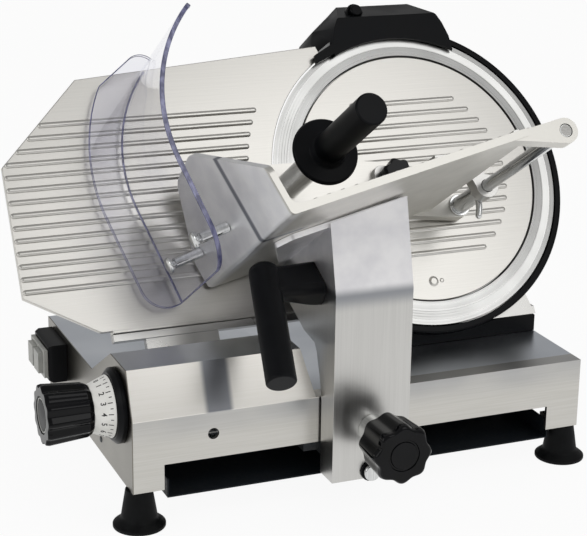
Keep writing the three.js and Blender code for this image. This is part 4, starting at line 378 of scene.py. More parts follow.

# %% Ground blade steel
# Hardened steel ground on a turning table: rings round the axis, 3 mm apart here, far coarser than real
# grinding. The slightly lighter and darker sectors are a painted reflection: they stand for the way such
# rings catch the light.
RING_PITCH = 3.0
ground_steel, tree, shader = surface("ground_steel", Metallic=1.0)
flat = add_node(tree, "ShaderNodeVectorMath", {
    0: tilted(tree), 1: (1, 1, 0)}, operation="MULTIPLY").outputs[0]
reach = add_node(tree, "ShaderNodeVectorMath", {0: flat}, operation="LENGTH").outputs["Value"]
rings = add_node(tree, "ShaderNodeTexNoise", {
    "W": calc(tree, "MULTIPLY", reach, 1000 / RING_PITCH), "Scale": 1.0, "Detail": 3.0},
    noise_dimensions="1D").outputs[0]
heading = add_node(tree, "ShaderNodeVectorMath", {0: flat}, operation="NORMALIZE").outputs[0]
painted_sheen_sectors = add_node(tree, "ShaderNodeTexNoise", {"Vector": heading, "Scale": 2.6, "Detail": 2.0}).outputs[0]
tree.links.new(tinted(tree, painted_sheen_sectors, "#C0C0BE", "#CCCCCA"), shader.inputs["Base Color"])
tree.links.new(spread(tree, rings, 0.27, 0.33), shader.inputs["Roughness"])
tree.links.new(raised(tree, rings, 0.05, 0.15), shader.inputs["Normal"])

# %% Polished and dark steel, cast iron
# Stainless rod and tube, drawn and polished: nearly a mirror, with faint length-wise lines. Oiled machine
# parts inside the housing: blackened steel, and grey iron with its coarse sand-cast skin.
polished_steel = finish("polished_steel", (1.5, 30, 30), 2.0, ("#C9CACA", "#DCDDDC"), (0.13, 0.20),
                        Metallic=1.0)
dark_steel = finish("dark_steel", 14, 3.0, ("#3E4042", "#585A5C"), (0.36, 0.52), Metallic=1.0)
finish("cast_iron", 3, 4.0, ("#505356", "#67696B"), (0.55, 0.72), bump=(0.3, 0.5), Metallic=0.7)

# %% Black plastics, rubber and paint
# Moulded black nylon with a spark-eroded texture, the glossy phenolic of the knobs, nitrile rubber feet,
# dull with a slight bloom, and stoved black paint with a fine orange peel. The IOR is the usual 1.5. The
# specular level is 0.1 to 0.15, far below the usual 0.5, so that they look as black as in the picture.
black_plastic = finish("black_plastic", 40, 2.0, ("#08090B", "#0E0F12"), (0.30, 0.40),
                       bump=(0.04, 0.35, 1.2), Metallic=0.0, IOR=1.5, Specular_IOR_Level=0.1)
black_gloss = finish("black_gloss", 25, 2.0, ("#050607", "#0A0A0D"), (0.08, 0.14),
                     Metallic=0.0, IOR=1.55, Specular_IOR_Level=0.15)
black_rubber = finish("black_rubber", 9, 4.0, ("#0A0B0C", "#131415"), (0.48, 0.66),
                      bump=(0.08, 0.3), Metallic=0.0, IOR=1.52, Specular_IOR_Level=0.1)
finish("black_paint", 3, 1.0, ("#1A1E22", "#20252A"), (0.40, 0.52),
       bump=(0.05, 0.3), Metallic=0.0, IOR=1.5, Specular_IOR_Level=0.1)

# %% White and grey plastics
# The dial's scale is white acetal, the switch bezel and buttons are grey nylon: both moulded, satin.
white_plastic = finish("white_plastic", 12, 2.0, ("#ECEBE6", "#F6F5F1"), (0.30, 0.38), Metallic=0.0, IOR=1.48)
grey_plastic = finish("grey_plastic", 10, 2.0, ("#9E9F9B", "#B0B0AB"), (0.38, 0.48), Metallic=0.0, IOR=1.5)

# %% Clear guard sheet
# Bent polycarbonate, clear with a trace of violet. The sheet is thin and its faces are parallel, so it hardly
# bends what is seen through it: light passes straight, and the gloss rises from 3 % face on towards the
# grazing angles, a plain stand-in for Fresnel's law. Its cut edges have a violet grey finish, which is
# painted light: it stands for the light caught in the edges.
clear_sheet, tree, output = new_finish("clear_sheet")
through = add_node(tree, "ShaderNodeBsdfTransparent", {
    "Color": tinted(tree, grain(tree, 60), "#F7F7FA", "#FCFCFD")})
gloss = add_node(tree, "ShaderNodeBsdfGlossy", {"Color": (1, 1, 1, 1), "Roughness": 0.03})
facing = add_node(tree, "ShaderNodeLayerWeight", {"Blend": 0.5})
grazing = calc(tree, "POWER", facing.outputs["Facing"], 5.0)
sheet = add_node(tree, "ShaderNodeMixShader", {
    0: calc(tree, "MULTIPLY_ADD", grazing, 0.5, 0.03), 1: through.outputs[0], 2: gloss.outputs[0]})
tree.links.new(sheet.outputs[0], output.inputs["Surface"])

clear_edge = finish("clear_edge", (5, 5, 26), 3.0, ("#4C4D70", "#8F90B4"), ends=(0.4, 0.68),
                    Metallic=0.0, IOR=1.58, Roughness=0.15)

# %% Abrasive
# Vitrified grinding wheel, 0.2 mm grit drawn as 0.8 mm specks, fully matt.
finish("abrasive", 0.8, 3.0, ("#7C6058", "#9C8076"), (0.85, 0.98), bump=(0.3, 0.6),
       Metallic=0.0, IOR=1.6)

OWN_FINISH = {"carriage_arm": folded_sheet, "base_housing": housing_sheet, "food_tray": tray_sheet,
              "riser_block": black_plastic, "pusher_plate": brushed_plate}
print("finishes:", len(FINISHES))

# %% [markdown]
# ## Dressing the nodes that stay
# A node whose shape is right keeps its mesh. Real edges are never knife sharp, so a small bevel catches
# a line of light along each fold. The mesh is loose triangles: Weld joins them, a planar Decimate clears
# the diagonals across flat faces, and only then does Bevel find the true edges.

# %% Slots and modifiers
EDGE_RADIUS = {
    "base_housing": 1.2, "carriage_arm": 0.9, "food_tray": 0.8, "sharpener_cover": 3.0, "blade_stand": 0.8,
    "pusher_plate": 0.6, "pusher_arm": 0.9, "switch_housing": 0.25, "motor_cover": 1.2,
}


def dress(node, millimetres):
    """Welds a node's triangles, merges flat faces, and rounds the edges: 32 degrees, or the folds' 18."""
    mesh = node.data
    if mesh.has_custom_normals and "custom_normal" in mesh.attributes:
        mesh.attributes.remove(mesh.attributes["custom_normal"])
    mesh.polygons.foreach_set("use_smooth", np.ones(len(mesh.polygons), bool))
    node.modifiers.new("weld", "WELD").merge_threshold = 0.00001
    flat = node.modifiers.new("flat_faces", "DECIMATE")
    flat.decimate_type, flat.angle_limit = "DISSOLVE", math.radians(1.0)
    edge = node.modifiers.new("edges", "BEVEL")
    edge.width, edge.segments, edge.limit_method = millimetres / 1000, 2, "ANGLE"
    edge.angle_limit = math.radians(18 if node.name == "base_housing" else 32)
    edge.use_clamp_overlap, edge.harden_normals = True, False
    shading = node.modifiers.new("normals", "WEIGHTED_NORMAL")
    shading.keep_sharp = False


slots = {entry["node"]: entry["material_slot"] for entry in frame["record"]["subparts"]}
bodies = {name: node["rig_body"] for name, node in nodes.items()}
for name, node in nodes.items():
    node.data.materials.clear()
    node.data.materials.append(OWN_FINISH.get(name, FINISHES[slots[name]]))
    dress(node, EDGE_RADIUS.get(name, 0.4))
print("dressed:", len(slots))

# %% [markdown]
# ## Surfaces from arrays
# Every new piece is a grid of points: rows run along a path or profile, columns run round it. The grid is
# computed as one array, its faces come from an index table, doubles at poles and seams are merged, and
# normals are then turned outwards. Lengths inside the formulas are millimetres in the frame that suits
# the piece, and one matrix takes them to the model's metres.

# %% Frames
ALONG, UP_SLOPE, OUTWARD = np.array([
    [1, 0, 0], [0, math.sin(TILT), math.cos(TILT)], [0, -math.cos(TILT), math.sin(TILT)]])
ORIGIN_SHIFT = np.array([20.7504, -106.4389, 0.0])


def on_blade_plane(points):
    """(u, v, w) millimetres: blade centre + u along X + v up the slope + w out towards the operator."""
    return BLADE_CENTRE + np.asarray(points, float) @ np.array([ALONG, UP_SLOPE, OUTWARD]) / 1000


def on_bench(points):
    """(x, y, z) millimetres measured from the front of the base, shifted to the model's origin."""
    return (np.asarray(points, float) + ORIGIN_SHIFT) / 1000


def turned_to(frame_of, axis, side, place):
    """A function that takes local (x, y, z) to place + x side + y (axis cross side) + z axis in a frame."""
    axis, side = np.array(axis, float), np.array(side, float)
    basis = np.array([side, np.cross(axis, side), axis])
    return lambda points: frame_of(np.asarray(points, float) @ basis + np.array(place, float))


def unit(vectors):
    """Rows divided by their length, or by 1e-9 where that is less."""
    return vectors / np.maximum(np.linalg.norm(vectors, axis=1, keepdims=True), 1e-9)


# %% Grid to mesh
def grid_faces(rows, columns, round_rows=False, round_columns=True, start=0):
    """Quads between neighbouring rows and columns of an index table, wrapped where it runs round."""
    table = np.arange(rows * columns).reshape(rows, columns) + start
    if round_columns:
        table = np.hstack([table, table[:, :1]])
    if round_rows:
        table = np.vstack([table, table[:1]])
    return np.stack([table[:-1, :-1], table[:-1, 1:], table[1:, 1:], table[1:, :-1]], -1).reshape(-1, 4)


def skin(points, round_rows=False, round_columns=True, capped=True):
    """(points, faces) of one closed grid: the first and last rows are capped unless the rows run round."""
    points = np.asarray(points, float)
    rows, columns = points.shape[:2]
    faces = grid_faces(rows, columns, round_rows, round_columns).tolist()
    if capped and not round_rows:
        faces += [list(range(columns))[::-1], list(range((rows - 1) * columns, rows * columns))]
    return points.reshape(-1, 3), faces


def piece(name, skins, finishes, replaced, sharp=35.0, body=None):
    """Joins skins into one object that stands for the replaced nodes and rides on their body."""
    points, faces, finish_of = [], [], []
    for k, (some_points, some_faces) in enumerate(skins):
        start = sum(len(p) for p in points)
        points.append(some_points)
        faces += [[i + start for i in face] for face in some_faces]
        finish_of += [k] * len(some_faces)
    mesh = bpy.data.meshes.new(name)
    mesh.from_pydata(np.concatenate(points).tolist(), [], faces)
    finishes = finishes if isinstance(finishes, (list, tuple)) else [finishes] * len(skins)
    kinds = list(dict.fromkeys(finishes))
    for kind in kinds:
        mesh.materials.append(kind)
    mesh.polygons.foreach_set("material_index", [kinds.index(finishes[k]) for k in finish_of])
    shape = bmesh.new()
    shape.from_mesh(mesh)
    bmesh.ops.remove_doubles(shape, verts=shape.verts, dist=1e-7)
    bmesh.ops.recalc_face_normals(shape, faces=shape.faces)
    shape.to_mesh(mesh)
    shape.free()
    mesh.polygons.foreach_set("use_smooth", np.ones(len(mesh.polygons), bool))
    mesh.set_sharp_from_angle(angle=math.radians(sharp))
    made = bpy.data.objects.new(name, mesh)
    bpy.context.scene.collection.objects.link(made)
    made.modifiers.new("normals", "WEIGHTED_NORMAL").keep_sharp = True
    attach(made, body or bodies[replaced[0]])
    if replaced:
        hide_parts(*replaced)
    print(name, "faces:", len(mesh.polygons))
    return made


# %% Profiles
def filleted(corners, radius, steps=5):
    """Rounds the corners of a closed polygon: each arc leaves its sides radius / tan(half angle) from
    the corner, and its centre lies radius / sin(half angle) along the corner's bisector."""
    corners = np.asarray(corners, float)
    radius = np.broadcast_to(np.asarray(radius, float), len(corners))[:, None]
    before = unit(np.roll(corners, 1, axis=0) - corners)
    after = unit(np.roll(corners, -1, axis=0) - corners)
    half = np.arccos(np.clip((before * after).sum(1, keepdims=True), -0.9999, 0.9999)) / 2
    centre = corners + unit(before + after) * radius / np.sin(half)
    first = corners + before * radius / np.tan(half) - centre
    last = corners + after * radius / np.tan(half) - centre
    start = np.arctan2(first[:, 1:], first[:, :1])
    turn = (np.arctan2(last[:, 1:], last[:, :1]) - start + np.pi) % (2 * np.pi) - np.pi
    angle = start + turn * np.linspace(0, 1, steps + 1)
    arcs = centre[:, None] + radius[:, None] * np.stack([np.cos(angle), np.sin(angle)], -1)
    return arcs.reshape(-1, 2)


def spun(profile, place, sides=64, lobes=0, depth=0.0, fade=0.0):
    """Turns a closed [radius, height] profile about Z: x = r cos a, y = r sin a. Lobes take
    depth (1 - cos(lobes a)) / 2 off the radius, less so nearer the axis."""
    profile = np.asarray(profile, float)
    angle = np.linspace(0, 2 * np.pi, sides, endpoint=False)
    radius, height = profile[:, :1], profile[:, 1:]
    share = (radius / profile[:, 0].max()) ** fade if lobes else 0.0
    reach = radius - share * depth * (1 - np.cos(lobes * angle)) / 2
    local = np.stack([reach * np.cos(angle), reach * np.sin(angle), height + 0 * angle], -1)
    return skin(place(local), round_rows=True)


def plate(outline, low, high, edge, place, steps=3):
    """A flat outline between two heights, whose long edges are quarter circles of radius edge."""
    outline = np.asarray(outline, float)
    outline = outline[np.linalg.norm(outline - np.roll(outline, 1, axis=0), axis=1) > 1e-6]
    sides = unit(np.roll(outline, -1, axis=0) - outline) + unit(outline - np.roll(outline, 1, axis=0))
    inward = np.stack([-sides[:, 1], sides[:, 0]], -1)
    inward /= np.maximum((inward * inward).sum(1, keepdims=True) / 2, 0.5)
    x, y = outline.T
    area = (x * np.roll(y, -1) - y * np.roll(x, -1)).sum()
    inward *= np.sign(area)
    quarter = np.linspace(0, np.pi / 2, steps + 1)
    inset = np.concatenate([edge * (1 - np.sin(quarter)), edge * (1 - np.cos(quarter))])
    height = np.concatenate([low + edge * (1 - np.cos(quarter)), high - edge * (1 - np.sin(quarter))])
    flat = outline[None] + inward[None] * inset[:, None, None]
    local = np.concatenate([flat, np.broadcast_to(height[:, None, None], (*flat.shape[:2], 1))], -1)
    return skin(place(local))


def rod_along(path, radius, place, sides=20, up=(0.0, 0.0, 1.0)):
    """Carries a circle along a path: at each point it lies in the plane square to the path's direction.
    Where a path repeats a point its direction is 0 / 0, and that circle is lost."""
    path = np.asarray(path, float)
    ahead = np.gradient(path, axis=0)
    ahead /= np.linalg.norm(ahead, axis=1, keepdims=True)
    side = np.cross(ahead, up)
    side /= np.linalg.norm(side, axis=1, keepdims=True)
    other = np.cross(ahead, side)
    angle = np.linspace(0, 2 * np.pi, sides, endpoint=False)[:, None]
    ring = side[:, None] * np.cos(angle) + other[:, None] * np.sin(angle)
    return skin(place(path[:, None] + np.broadcast_to(radius, len(path))[:, None, None] * ring))


def half_round_ribs(left, right, across, width, rise, place, level=0.0, sides=14, end_steps=5):
    """One long flattened capsule per row, sunk to its middle in the face it stands on. Along it the
    radius is r cos q and the end runs out r sin q, with q from -90 to 90 degrees; the section is an
    ellipse of that radius and of height rise cos q."""
    left, right, across = (np.broadcast_to(v, np.shape(across)).astype(float) for v in (left, right, across))
    reach = width / 2
    quarter = np.linspace(0, np.pi / 2, end_steps + 1)
    bend = np.concatenate([quarter - np.pi / 2, quarter])
    end = np.repeat([0.0, 1.0], end_steps + 1)
    along = (left[:, None] + reach) * (1 - end) + (right[:, None] - reach) * end + reach * np.sin(bend)
    angle = np.linspace(0, 2 * np.pi, sides, endpoint=False)
    narrow = np.cos(bend)[None, :, None]
    u = np.broadcast_to(along[:, :, None], (len(across), len(bend), sides))
    v = across[:, None, None] + reach * narrow * np.cos(angle)
    w = level + rise * narrow * np.sin(angle) + 0 * v
    grids = place(np.stack([u, v + 0 * u, w + 0 * u], -1))
    return [skin(grid, capped=False) for grid in grids]


# %% [markdown]
# ## Blade and cover
# The blade is a ring ground to a bevel, with shallow steps left by the grinding wheel near its edge. It is
# one profile turned about the blade's axis. The cover is a pressed disc: its ribs were rolled into the
# sheet, so they are half round with rounded ends, and each is one flattened capsule.

# %% Blade
BEVEL_FOOT, BEVEL_RISE, RIM = 127.4, 2.0, 150.0
step_at = np.array([137.0, 139.6, 142.2, 144.8])
bevel_radius = np.concatenate([[BEVEL_FOOT], np.repeat(step_at, 2), [RIM]])
bevel_slope = BEVEL_RISE * (RIM - bevel_radius) / (RIM - BEVEL_FOOT)
bevel_height = bevel_slope + np.concatenate([[0], np.tile([0.2, -0.2], len(step_at)), [0]])
blade_profile = np.concatenate([
    [[24, -5], [126.6, -5], [127.4, -4.2]], np.column_stack([bevel_radius, bevel_height]),
    [[150, -0.8], [132, -8.5], [56, -10], [24, -10]]])
piece("blade_disc", [spun(blade_profile, on_blade_plane, sides=256)], ground_steel, ["blade"], sharp=12)

# %% Blade cover
COVER_RADIUS, COVER_FACE = 125.9, 1.2
rows = np.arange(14)
across = (6.5 - rows) * 12.0
half_length = np.sqrt(97.0 ** 2 - across ** 2)
cover_profile = filleted([[0, -0.8], [COVER_RADIUS, -0.8], [COVER_RADIUS, COVER_FACE], [0, COVER_FACE]],
                         [0, 0.4, 0.8, 0], 3)
boss_profile = [[0, -4.2], [9, -4.2], [9, -0.6], [0, -0.6]]
DIMPLES = ((-7.2, 5.5, 1.5), (1.8, 2.6, 0.8))
dimples = [spun(
    filleted([[0, 0], [r, 0], [r, 1.0], [r * 0.55, 1.0 + h], [0, 1.0 + h]], [0, 0, 0.4, 0.6, 0], 3),
    lambda q, u=u: on_blade_plane(q + [u, -106.7, 0]), sides=32) for u, r, h in DIMPLES]
piece("cover_plate", [
    spun(cover_profile, on_blade_plane, sides=192), spun(boss_profile, on_blade_plane, sides=48), *dimples,
    *half_round_ribs(-half_length, half_length, across, 5.4, 1.9, on_blade_plane, COVER_FACE)],
    brushed_plate, ["blade_cover"])

# %% [markdown]
# ## Gauge plate
# The food leans against this plate. It is cast, with long half-round ribs so that it slides, and a round
# bite that follows the blade. The plate is a rounded outline given thickness, and the ribs end on a
# circle round the blade.

# %% Gauge plate
EDGE_ARC = 151.5
low_angle, high_angle = np.pi - np.arcsin(-118 / EDGE_ARC), np.pi - np.arcsin(131 / EDGE_ARC)
bite = np.linspace(low_angle, high_angle, 49)
gauge_outline = np.concatenate([
    filleted([[-80, 143.2], [-328, 124], [-409, 44], [-409, -79], [-343, -118], [-120, -118]],
             [0, 1, 1, 1, 7, 0], 6)[7:-7],
    EDGE_ARC * on_circle(bite), [[-80, 143.2]]])
rib_v = 81.6 - 11.95 * np.arange(14)
rib_left = -408 + np.maximum(0, rib_v - 44) * 81 / 80 + np.maximum(0, -79 - rib_v) * 66 / 39
rib_right = -np.sqrt(175.0 ** 2 - rib_v ** 2)
lip = filleted([[-332, -120], [-112, -120], [-112, -116], [-332, -116]], 0.8, 3)
piece("gauge_face", [
    plate(gauge_outline, -5, 0, 0.8, on_blade_plane), plate(lip, -12, -0.1, 0.6, on_blade_plane),
    *half_round_ribs(rib_left, rib_right, rib_v, 5.4, 2.0, on_blade_plane)],
    brushed_plate, ["gauge_plate"])

# %% [markdown]
# ## Ring guard
# A black moulded hoop covers the blade's edge where no food meets it. A rounded rectangle is carried
# along an arc of the blade's circle.

# %% Ring guard
hoop = np.radians(np.linspace(-116, 66, 91))
hoop_section = filleted([[151.6, -11.7], [158, -11.7], [158, 0.5], [151.6, 0.5]], [0.5, 1.6, 1.6, 0.5], 4)
piece("edge_hoop", [skin(on_blade_plane(np.stack([
    np.cos(hoop)[:, None] * hoop_section[:, 0], np.sin(hoop)[:, None] * hoop_section[:, 0],
    np.broadcast_to(hoop_section[:, 1], (len(hoop), len(hoop_section)))], -1)))],
    black_plastic, ["ring_guard"])

# %% [markdown]
# ## Clear guard
# A sheet of polycarbonate bent round the tray's end: straight, then a wide curve, with both front corners
# round, and a flange that was turned out at the back. The wall is a thin rounded section carried up the
# bend, and its cut front edge is a strip with the edge finish, painted light that stands for the glow in
# the edge.

# %% Guard
GUARD_THICKNESS, STRAIGHT, BEND_RADIUS = 4.0, 95.6, 141.6
LEAN, BEND = math.radians(16.2), math.radians(63)
GUARD_TOTAL = STRAIGHT + BEND_RADIUS * BEND
GUARD_U, GUARD_V = -265, -101
BEND_CENTRE = np.array([
    GUARD_U - STRAIGHT * math.sin(LEAN) + BEND_RADIUS * math.cos(LEAN),
    GUARD_V + STRAIGHT * math.cos(LEAN) + BEND_RADIUS * math.sin(LEAN)])


def beside_guard(along, outward):
    """A point outward of the guard's inner face: on a leaning line up to the bend, then round its centre."""
    along, outward = np.broadcast_arrays(np.asarray(along, float), np.asarray(outward, float))
    straight = np.stack([
        GUARD_U - along * math.sin(LEAN) - outward * math.cos(LEAN),
        GUARD_V + along * math.cos(LEAN) - outward * math.sin(LEAN)], -1)
    angle = np.pi + LEAN - (along - STRAIGHT) / BEND_RADIUS
    bent = BEND_CENTRE + (BEND_RADIUS + outward)[..., None] * np.stack([np.cos(angle), np.sin(angle)], -1)
    return np.where((along <= STRAIGHT)[..., None], straight, bent)


FRONT, LOW_ROUND, TOP_ROUND = 157.0, 37.0, 20.0
quarter = np.linspace(0, np.pi / 2, 13)
along = np.concatenate([
    LOW_ROUND * (1 - np.cos(quarter)), np.linspace(40, GUARD_TOTAL - TOP_ROUND, 44),
    GUARD_TOTAL - TOP_ROUND * (1 - np.sin(quarter[1:]))])
low_arc = np.sqrt(np.maximum(0, LOW_ROUND ** 2 - (LOW_ROUND - along) ** 2))
top_arc = np.sqrt(np.maximum(0, TOP_ROUND ** 2 - np.maximum(0, along - GUARD_TOTAL + TOP_ROUND) ** 2))
reach = np.where(along < LOW_ROUND, FRONT - LOW_ROUND + low_arc, FRONT - TOP_ROUND + top_arc)
GLOW = 2.2


def guard_wall(section):
    """Carries (outward, w back from the front edge) or (outward, fixed w) points up the bend."""
    flat = beside_guard(along[:, None], section[None, :, 0])
    w = np.where(section[:, 2] > 0, section[:, 1], reach[:, None] - section[:, 1])
    return on_blade_plane(np.concatenate([flat, w[..., None]], -1))


clear_wall = np.array([
    [0, 8, 1], [0, GLOW, 0], [GUARD_THICKNESS, GLOW, 0], [GUARD_THICKNESS, 8, 1]])
glow_strip = np.array([
    [0, GLOW, 0], [0, 0.6, 0], [0.6, 0, 0], [3.4, 0, 0],
    [GUARD_THICKNESS, 0.6, 0], [GUARD_THICKNESS, GLOW, 0]])
rim_angle = np.linspace(math.radians(150), np.pi + LEAN, 25)
FLANGE = 32.0
rim = BEND_CENTRE + (BEND_RADIUS + FLANGE) * on_circle(rim_angle)
low_corner = filleted([rim[-1], beside_guard(0, FLANGE), beside_guard(0, 2.0), beside_guard(30, 2.0)],
                      [0, 24, 0, 0], 8)[9:27]
crest = filleted([beside_guard(GUARD_TOTAL, 2.0), beside_guard(GUARD_TOTAL, FLANGE - 16), rim[0], rim[1]],
                 [0, 16, 0, 0], 8)[0:18]
inner_line = beside_guard(along[6:-4], 2.0)
flange_outline = np.concatenate([crest, rim[1:-1], low_corner, inner_line])


def at_w(flat, w):
    """Flat (u, v) points lifted to a height w over the cutting plane."""
    return np.column_stack([flat, np.full(len(flat), float(w))])


# Fine dark beads stand for the light caught in the sheet's edges; the real sheet has none. Known fault: the
# path outer repeats points at its corners, so circles of its two beads are lost, and the exported mesh has
# stray faces from there to the origin.
BEAD_SIDES, BEAD_UP = 8, (0.31, 0.17, 0.94)
fold = at_w(beside_guard(np.linspace(0.6, GUARD_TOTAL - 14, 70), 1.0), 9.2)
under = np.array([[*beside_guard(0.5, 2.0), w] for w in np.linspace(10, FRONT - LOW_ROUND + 2, 24)])
outer = np.concatenate([crest[2:], rim[1:-1], low_corner])
beads = [rod_along(path, radius, on_blade_plane, BEAD_SIDES, BEAD_UP) for path, radius in (
    (fold, 1.0), (under, 0.8), (at_w(outer, 12.0), 0.35), (at_w(outer, 8.0), 0.3))]
piece("clear_guard", [
    skin(guard_wall(clear_wall)), skin(guard_wall(glow_strip)),
    plate(flange_outline, 8, 12, 0.5, on_blade_plane, steps=2), *beads],
    [clear_sheet, clear_edge, clear_sheet] + [clear_edge] * len(beads), ["guard"], sharp=40)

# %% [markdown]
# ## Guard screws
# Two shoulder screws hold the guard off the tray. A low domed head sits outside the sheet and a round
# sleeve fills the gap to the tray's wall. Both are turned about the screw's own axis.

# %% Guard screws
SCREW_RISE = 32


def guard_screw_place(w):
    """Local z points outwards, square to the leaning wall, from its inner face."""
    start = [GUARD_U - SCREW_RISE * math.tan(LEAN), GUARD_V + SCREW_RISE, w]
    return turned_to(on_blade_plane, [-math.cos(LEAN), -math.sin(LEAN), 0], [0, 0, 1], start)


HEAD, HEAD_RISE = 7.6, 4.0
dome_angle = np.linspace(0, np.pi / 2, 9)
head_profile = np.concatenate([
    [[0, 4.3], [HEAD, 4.3]], [0, 5.4] + [HEAD, HEAD_RISE - 1.1] * on_circle(dome_angle)])
sleeve_profile = filleted([[3.1, -28], [5, -28], [5, -0.3], [3.1, -0.3]], [0, 0.3, 0.3, 0], 2)
for name, w in (("guard_screw_front", 114), ("guard_screw_rear", 32)):
    place = guard_screw_place(w)
    piece(name.replace("screw", "bolt"), [
        spun(head_profile, place, sides=48), spun(sleeve_profile, place, sides=32),
        spun([[0, -27], [3, -27], [3, 5], [0, 5]], place, sides=20)], polished_steel, [name])

# %% [markdown]
# ## Knobs
# Phenolic knobs are moulded with finger flutes. Their profile is turned about the shaft, and the radius
# dips with the cosine of as many turns as there are flutes. The dip fades towards the axis, so the flat
# face stays round in the middle.

# %% Thickness dial
LEFT_SIDE, DIAL_Y, DIAL_Z = -238.2, 42.6, 104.0


def dial_place(x):
    """Local z points out of the base's left side, from a distance x of the front corner."""
    return turned_to(on_bench, [-1, 0, 0], [0, 0, 1], [x, DIAL_Y, DIAL_Z])


ring_profile = filleted([[9, 0], [34, 0], [34, 3.8], [30.2, 7.6], [9, 7.6]], [0, 0.5, 1.2, 1.2, 0], 4)
piece("dial_seat", [spun(ring_profile, dial_place(-238.5), sides=128)], black_plastic, ["dial_ring"])
SCALE_FACE = LEFT_SIDE - 7.6 - 0.6
CONE_FOOT, CONE_TOP, CONE_RISE, CONE_MEAN = 28.3, 21.4, 18, 25.0
scale_profile = filleted([[6.3, 0], [CONE_FOOT, 0], [CONE_TOP, CONE_RISE], [6.3, CONE_RISE]],
                         [0, 0.5, 0.5, 0], 3)
at_knob = dial_place(SCALE_FACE - CONE_RISE - 0.3)
knob_profile = filleted(
    [[6.3, 0], [22.3, 0], [24.5, 4], [27.4, 38.5], [26.6, 42], [17.2, 42], [16.6, 40.6], [0, 40.6],
     [0, 21], [6.3, 21]], [0, 0.8, 2.5, 1.5, 1.2, 0.4, 0.3, 0, 0, 0], 4)
cap_profile = filleted([[0, 40.2], [13.6, 40.2], [13.6, 41.3], [0, 41.8]], [0, 0, 0.5, 0], 3)
ring_mark = filleted([[14.4, 40.2], [15.6, 40.2], [15.6, 41.4], [14.4, 41.4]], 0.25, 3)
piece("dial_grip", [
    spun(knob_profile, at_knob, sides=288, lobes=12, depth=3.0, fade=4.0),
    spun(cap_profile, at_knob, sides=64), spun(ring_mark, at_knob, sides=64)],
    [black_gloss, black_plastic, grey_plastic], ["dial_knob"], sharp=40)

# %% Tray lock knob and its stud
COLUMN_X, LOCK_HEIGHT = -25.2, 80


def column_place(y, z):
    """Local z points towards the operator from y, on the column's middle line."""
    return turned_to(on_bench, [0, -1, 0], [1, 0, 0], [COLUMN_X, y, z])


lock_profile = filleted(
    [[5.3, 0], [22, 0], [26, 3], [28, 35], [26.5, 41], [14.8, 41], [14.3, 39.8], [12.7, 39.8], [12.2, 41],
     [0, 41], [0, 21], [5.3, 21]], [0, 1.5, 3, 5, 4, 0.4, 0.3, 0.3, 0.4, 0, 0, 0], 5)
piece("tray_lock_grip", [
    spun(lock_profile, column_place(-56.6, LOCK_HEIGHT), sides=256, lobes=8, depth=3.6, fade=5.0)],
    black_gloss, ["column_knob"], sharp=40)
stud_profile = filleted(
    [[0, -24], [5, -24], [5, 0], [13, 0], [13, 26], [5, 26], [5, 46.2], [0, 46.2]],
    [0, 0, 0, 0.8, 0.8, 0, 0.5, 0], 3)
piece("tray_lock_stud", [spun(stud_profile, column_place(-30.3, LOCK_HEIGHT), sides=64)],
      polished_steel, ["knob_stud"])

# %% Pusher lock knob
def plane_place(u, v, w=0.0):
    """Local z points out of the cutting plane, from (u, v, w)."""
    return lambda q: on_blade_plane(np.asarray(q, float) + [u, v, w])


plate_knob_profile = filleted(
    [[0, 0], [12, 0], [14, 1.5], [15.5, 13.5], [14.2, 17], [0, 17.6]], [0, 0.6, 1.2, 2.4, 2, 0], 5)
at_plate_knob = plane_place(-48, -11, 32 + 5 + 0.3 + 7 + 0.3)
piece("pusher_lock_grip", [
    spun(plate_knob_profile, at_plate_knob, sides=196, lobes=7, depth=3.0, fade=5.0),
    spun([[0, 0.4], [3.5, 0.4], [3.5, -12.3], [0, -12.3]], at_plate_knob, sides=24)],
    black_gloss, ["plate_knob"], sharp=40)

# %% [markdown]
# ## Pusher pieces
# Grip, spacer, sleeve and rod are all turned parts: each is one filleted profile spun about its axis.

# %% Pusher grip, spacer, sleeve and rod
ROD_U, ROD_V = 28.1, -38.2
at_grip, at_rod = plane_place(-151.0, -7.0), plane_place(ROD_U, ROD_V)
grip_profile = filleted(
    [[4.3, 127], [19, 127], [29.5, 130], [31, 133], [29.5, 136], [17.3, 139], [14.3, 145], [14.3, 242.8],
     [13.2, 244], [0, 244], [0, 145.3], [4.3, 145.3]],
    [0, 1, 1.5, 1.2, 2, 2.5, 5, 1.2, 1.2, 0, 0, 0], 6)
piece("pusher_hand_grip", [spun(grip_profile, at_grip, sides=96)],
      black_plastic, ["pusher_grip"])
spacer_profile = filleted(
    [[0, 34.8], [4, 34.8], [4, 37.3], [12.4, 37.3], [12.4, 126.7], [4, 126.7], [4, 144.7], [0, 144.7]],
    [0, 0.3, 0, 0.6, 0.6, 0, 0.3, 0], 3)
piece("pusher_post", [spun(spacer_profile, at_grip, sides=64)],
      polished_steel, ["pusher_spacer"])
sleeve_tube = filleted(
    [[6.3, 19.4], [10.8, 19.4], [10.8, 21.6], [8.6, 21.6], [8.6, 67], [10.8, 67],
     [10.8, 69.2], [6.3, 69.2]],
    [0, 0.4, 0.4, 0.3, 0.3, 0.4, 0.4, 0], 3)


lever_length = np.linspace(0, 1, 17)
lever = np.column_stack([
    ROD_U - 2.0 - 4.5 * lever_length ** 2, ROD_V - 7.0 - 19.0 * lever_length, 63.5 + 0 * lever_length])
lever_radius = 3.1 * np.sqrt(np.clip(1 - ((lever_length - 0.86) / 0.15).clip(0, 1) ** 2, 0.02, 1))
piece("pusher_tube", [
    spun(sleeve_tube, at_rod, sides=64),
    rod_along(lever, lever_radius, on_blade_plane)], polished_steel, ["pusher_sleeve"])
rod_profile = filleted([[0, 5.6], [6, 5.6], [6, 239.1], [0, 239.1]], [0, 0.8, 0.8, 0], 3)
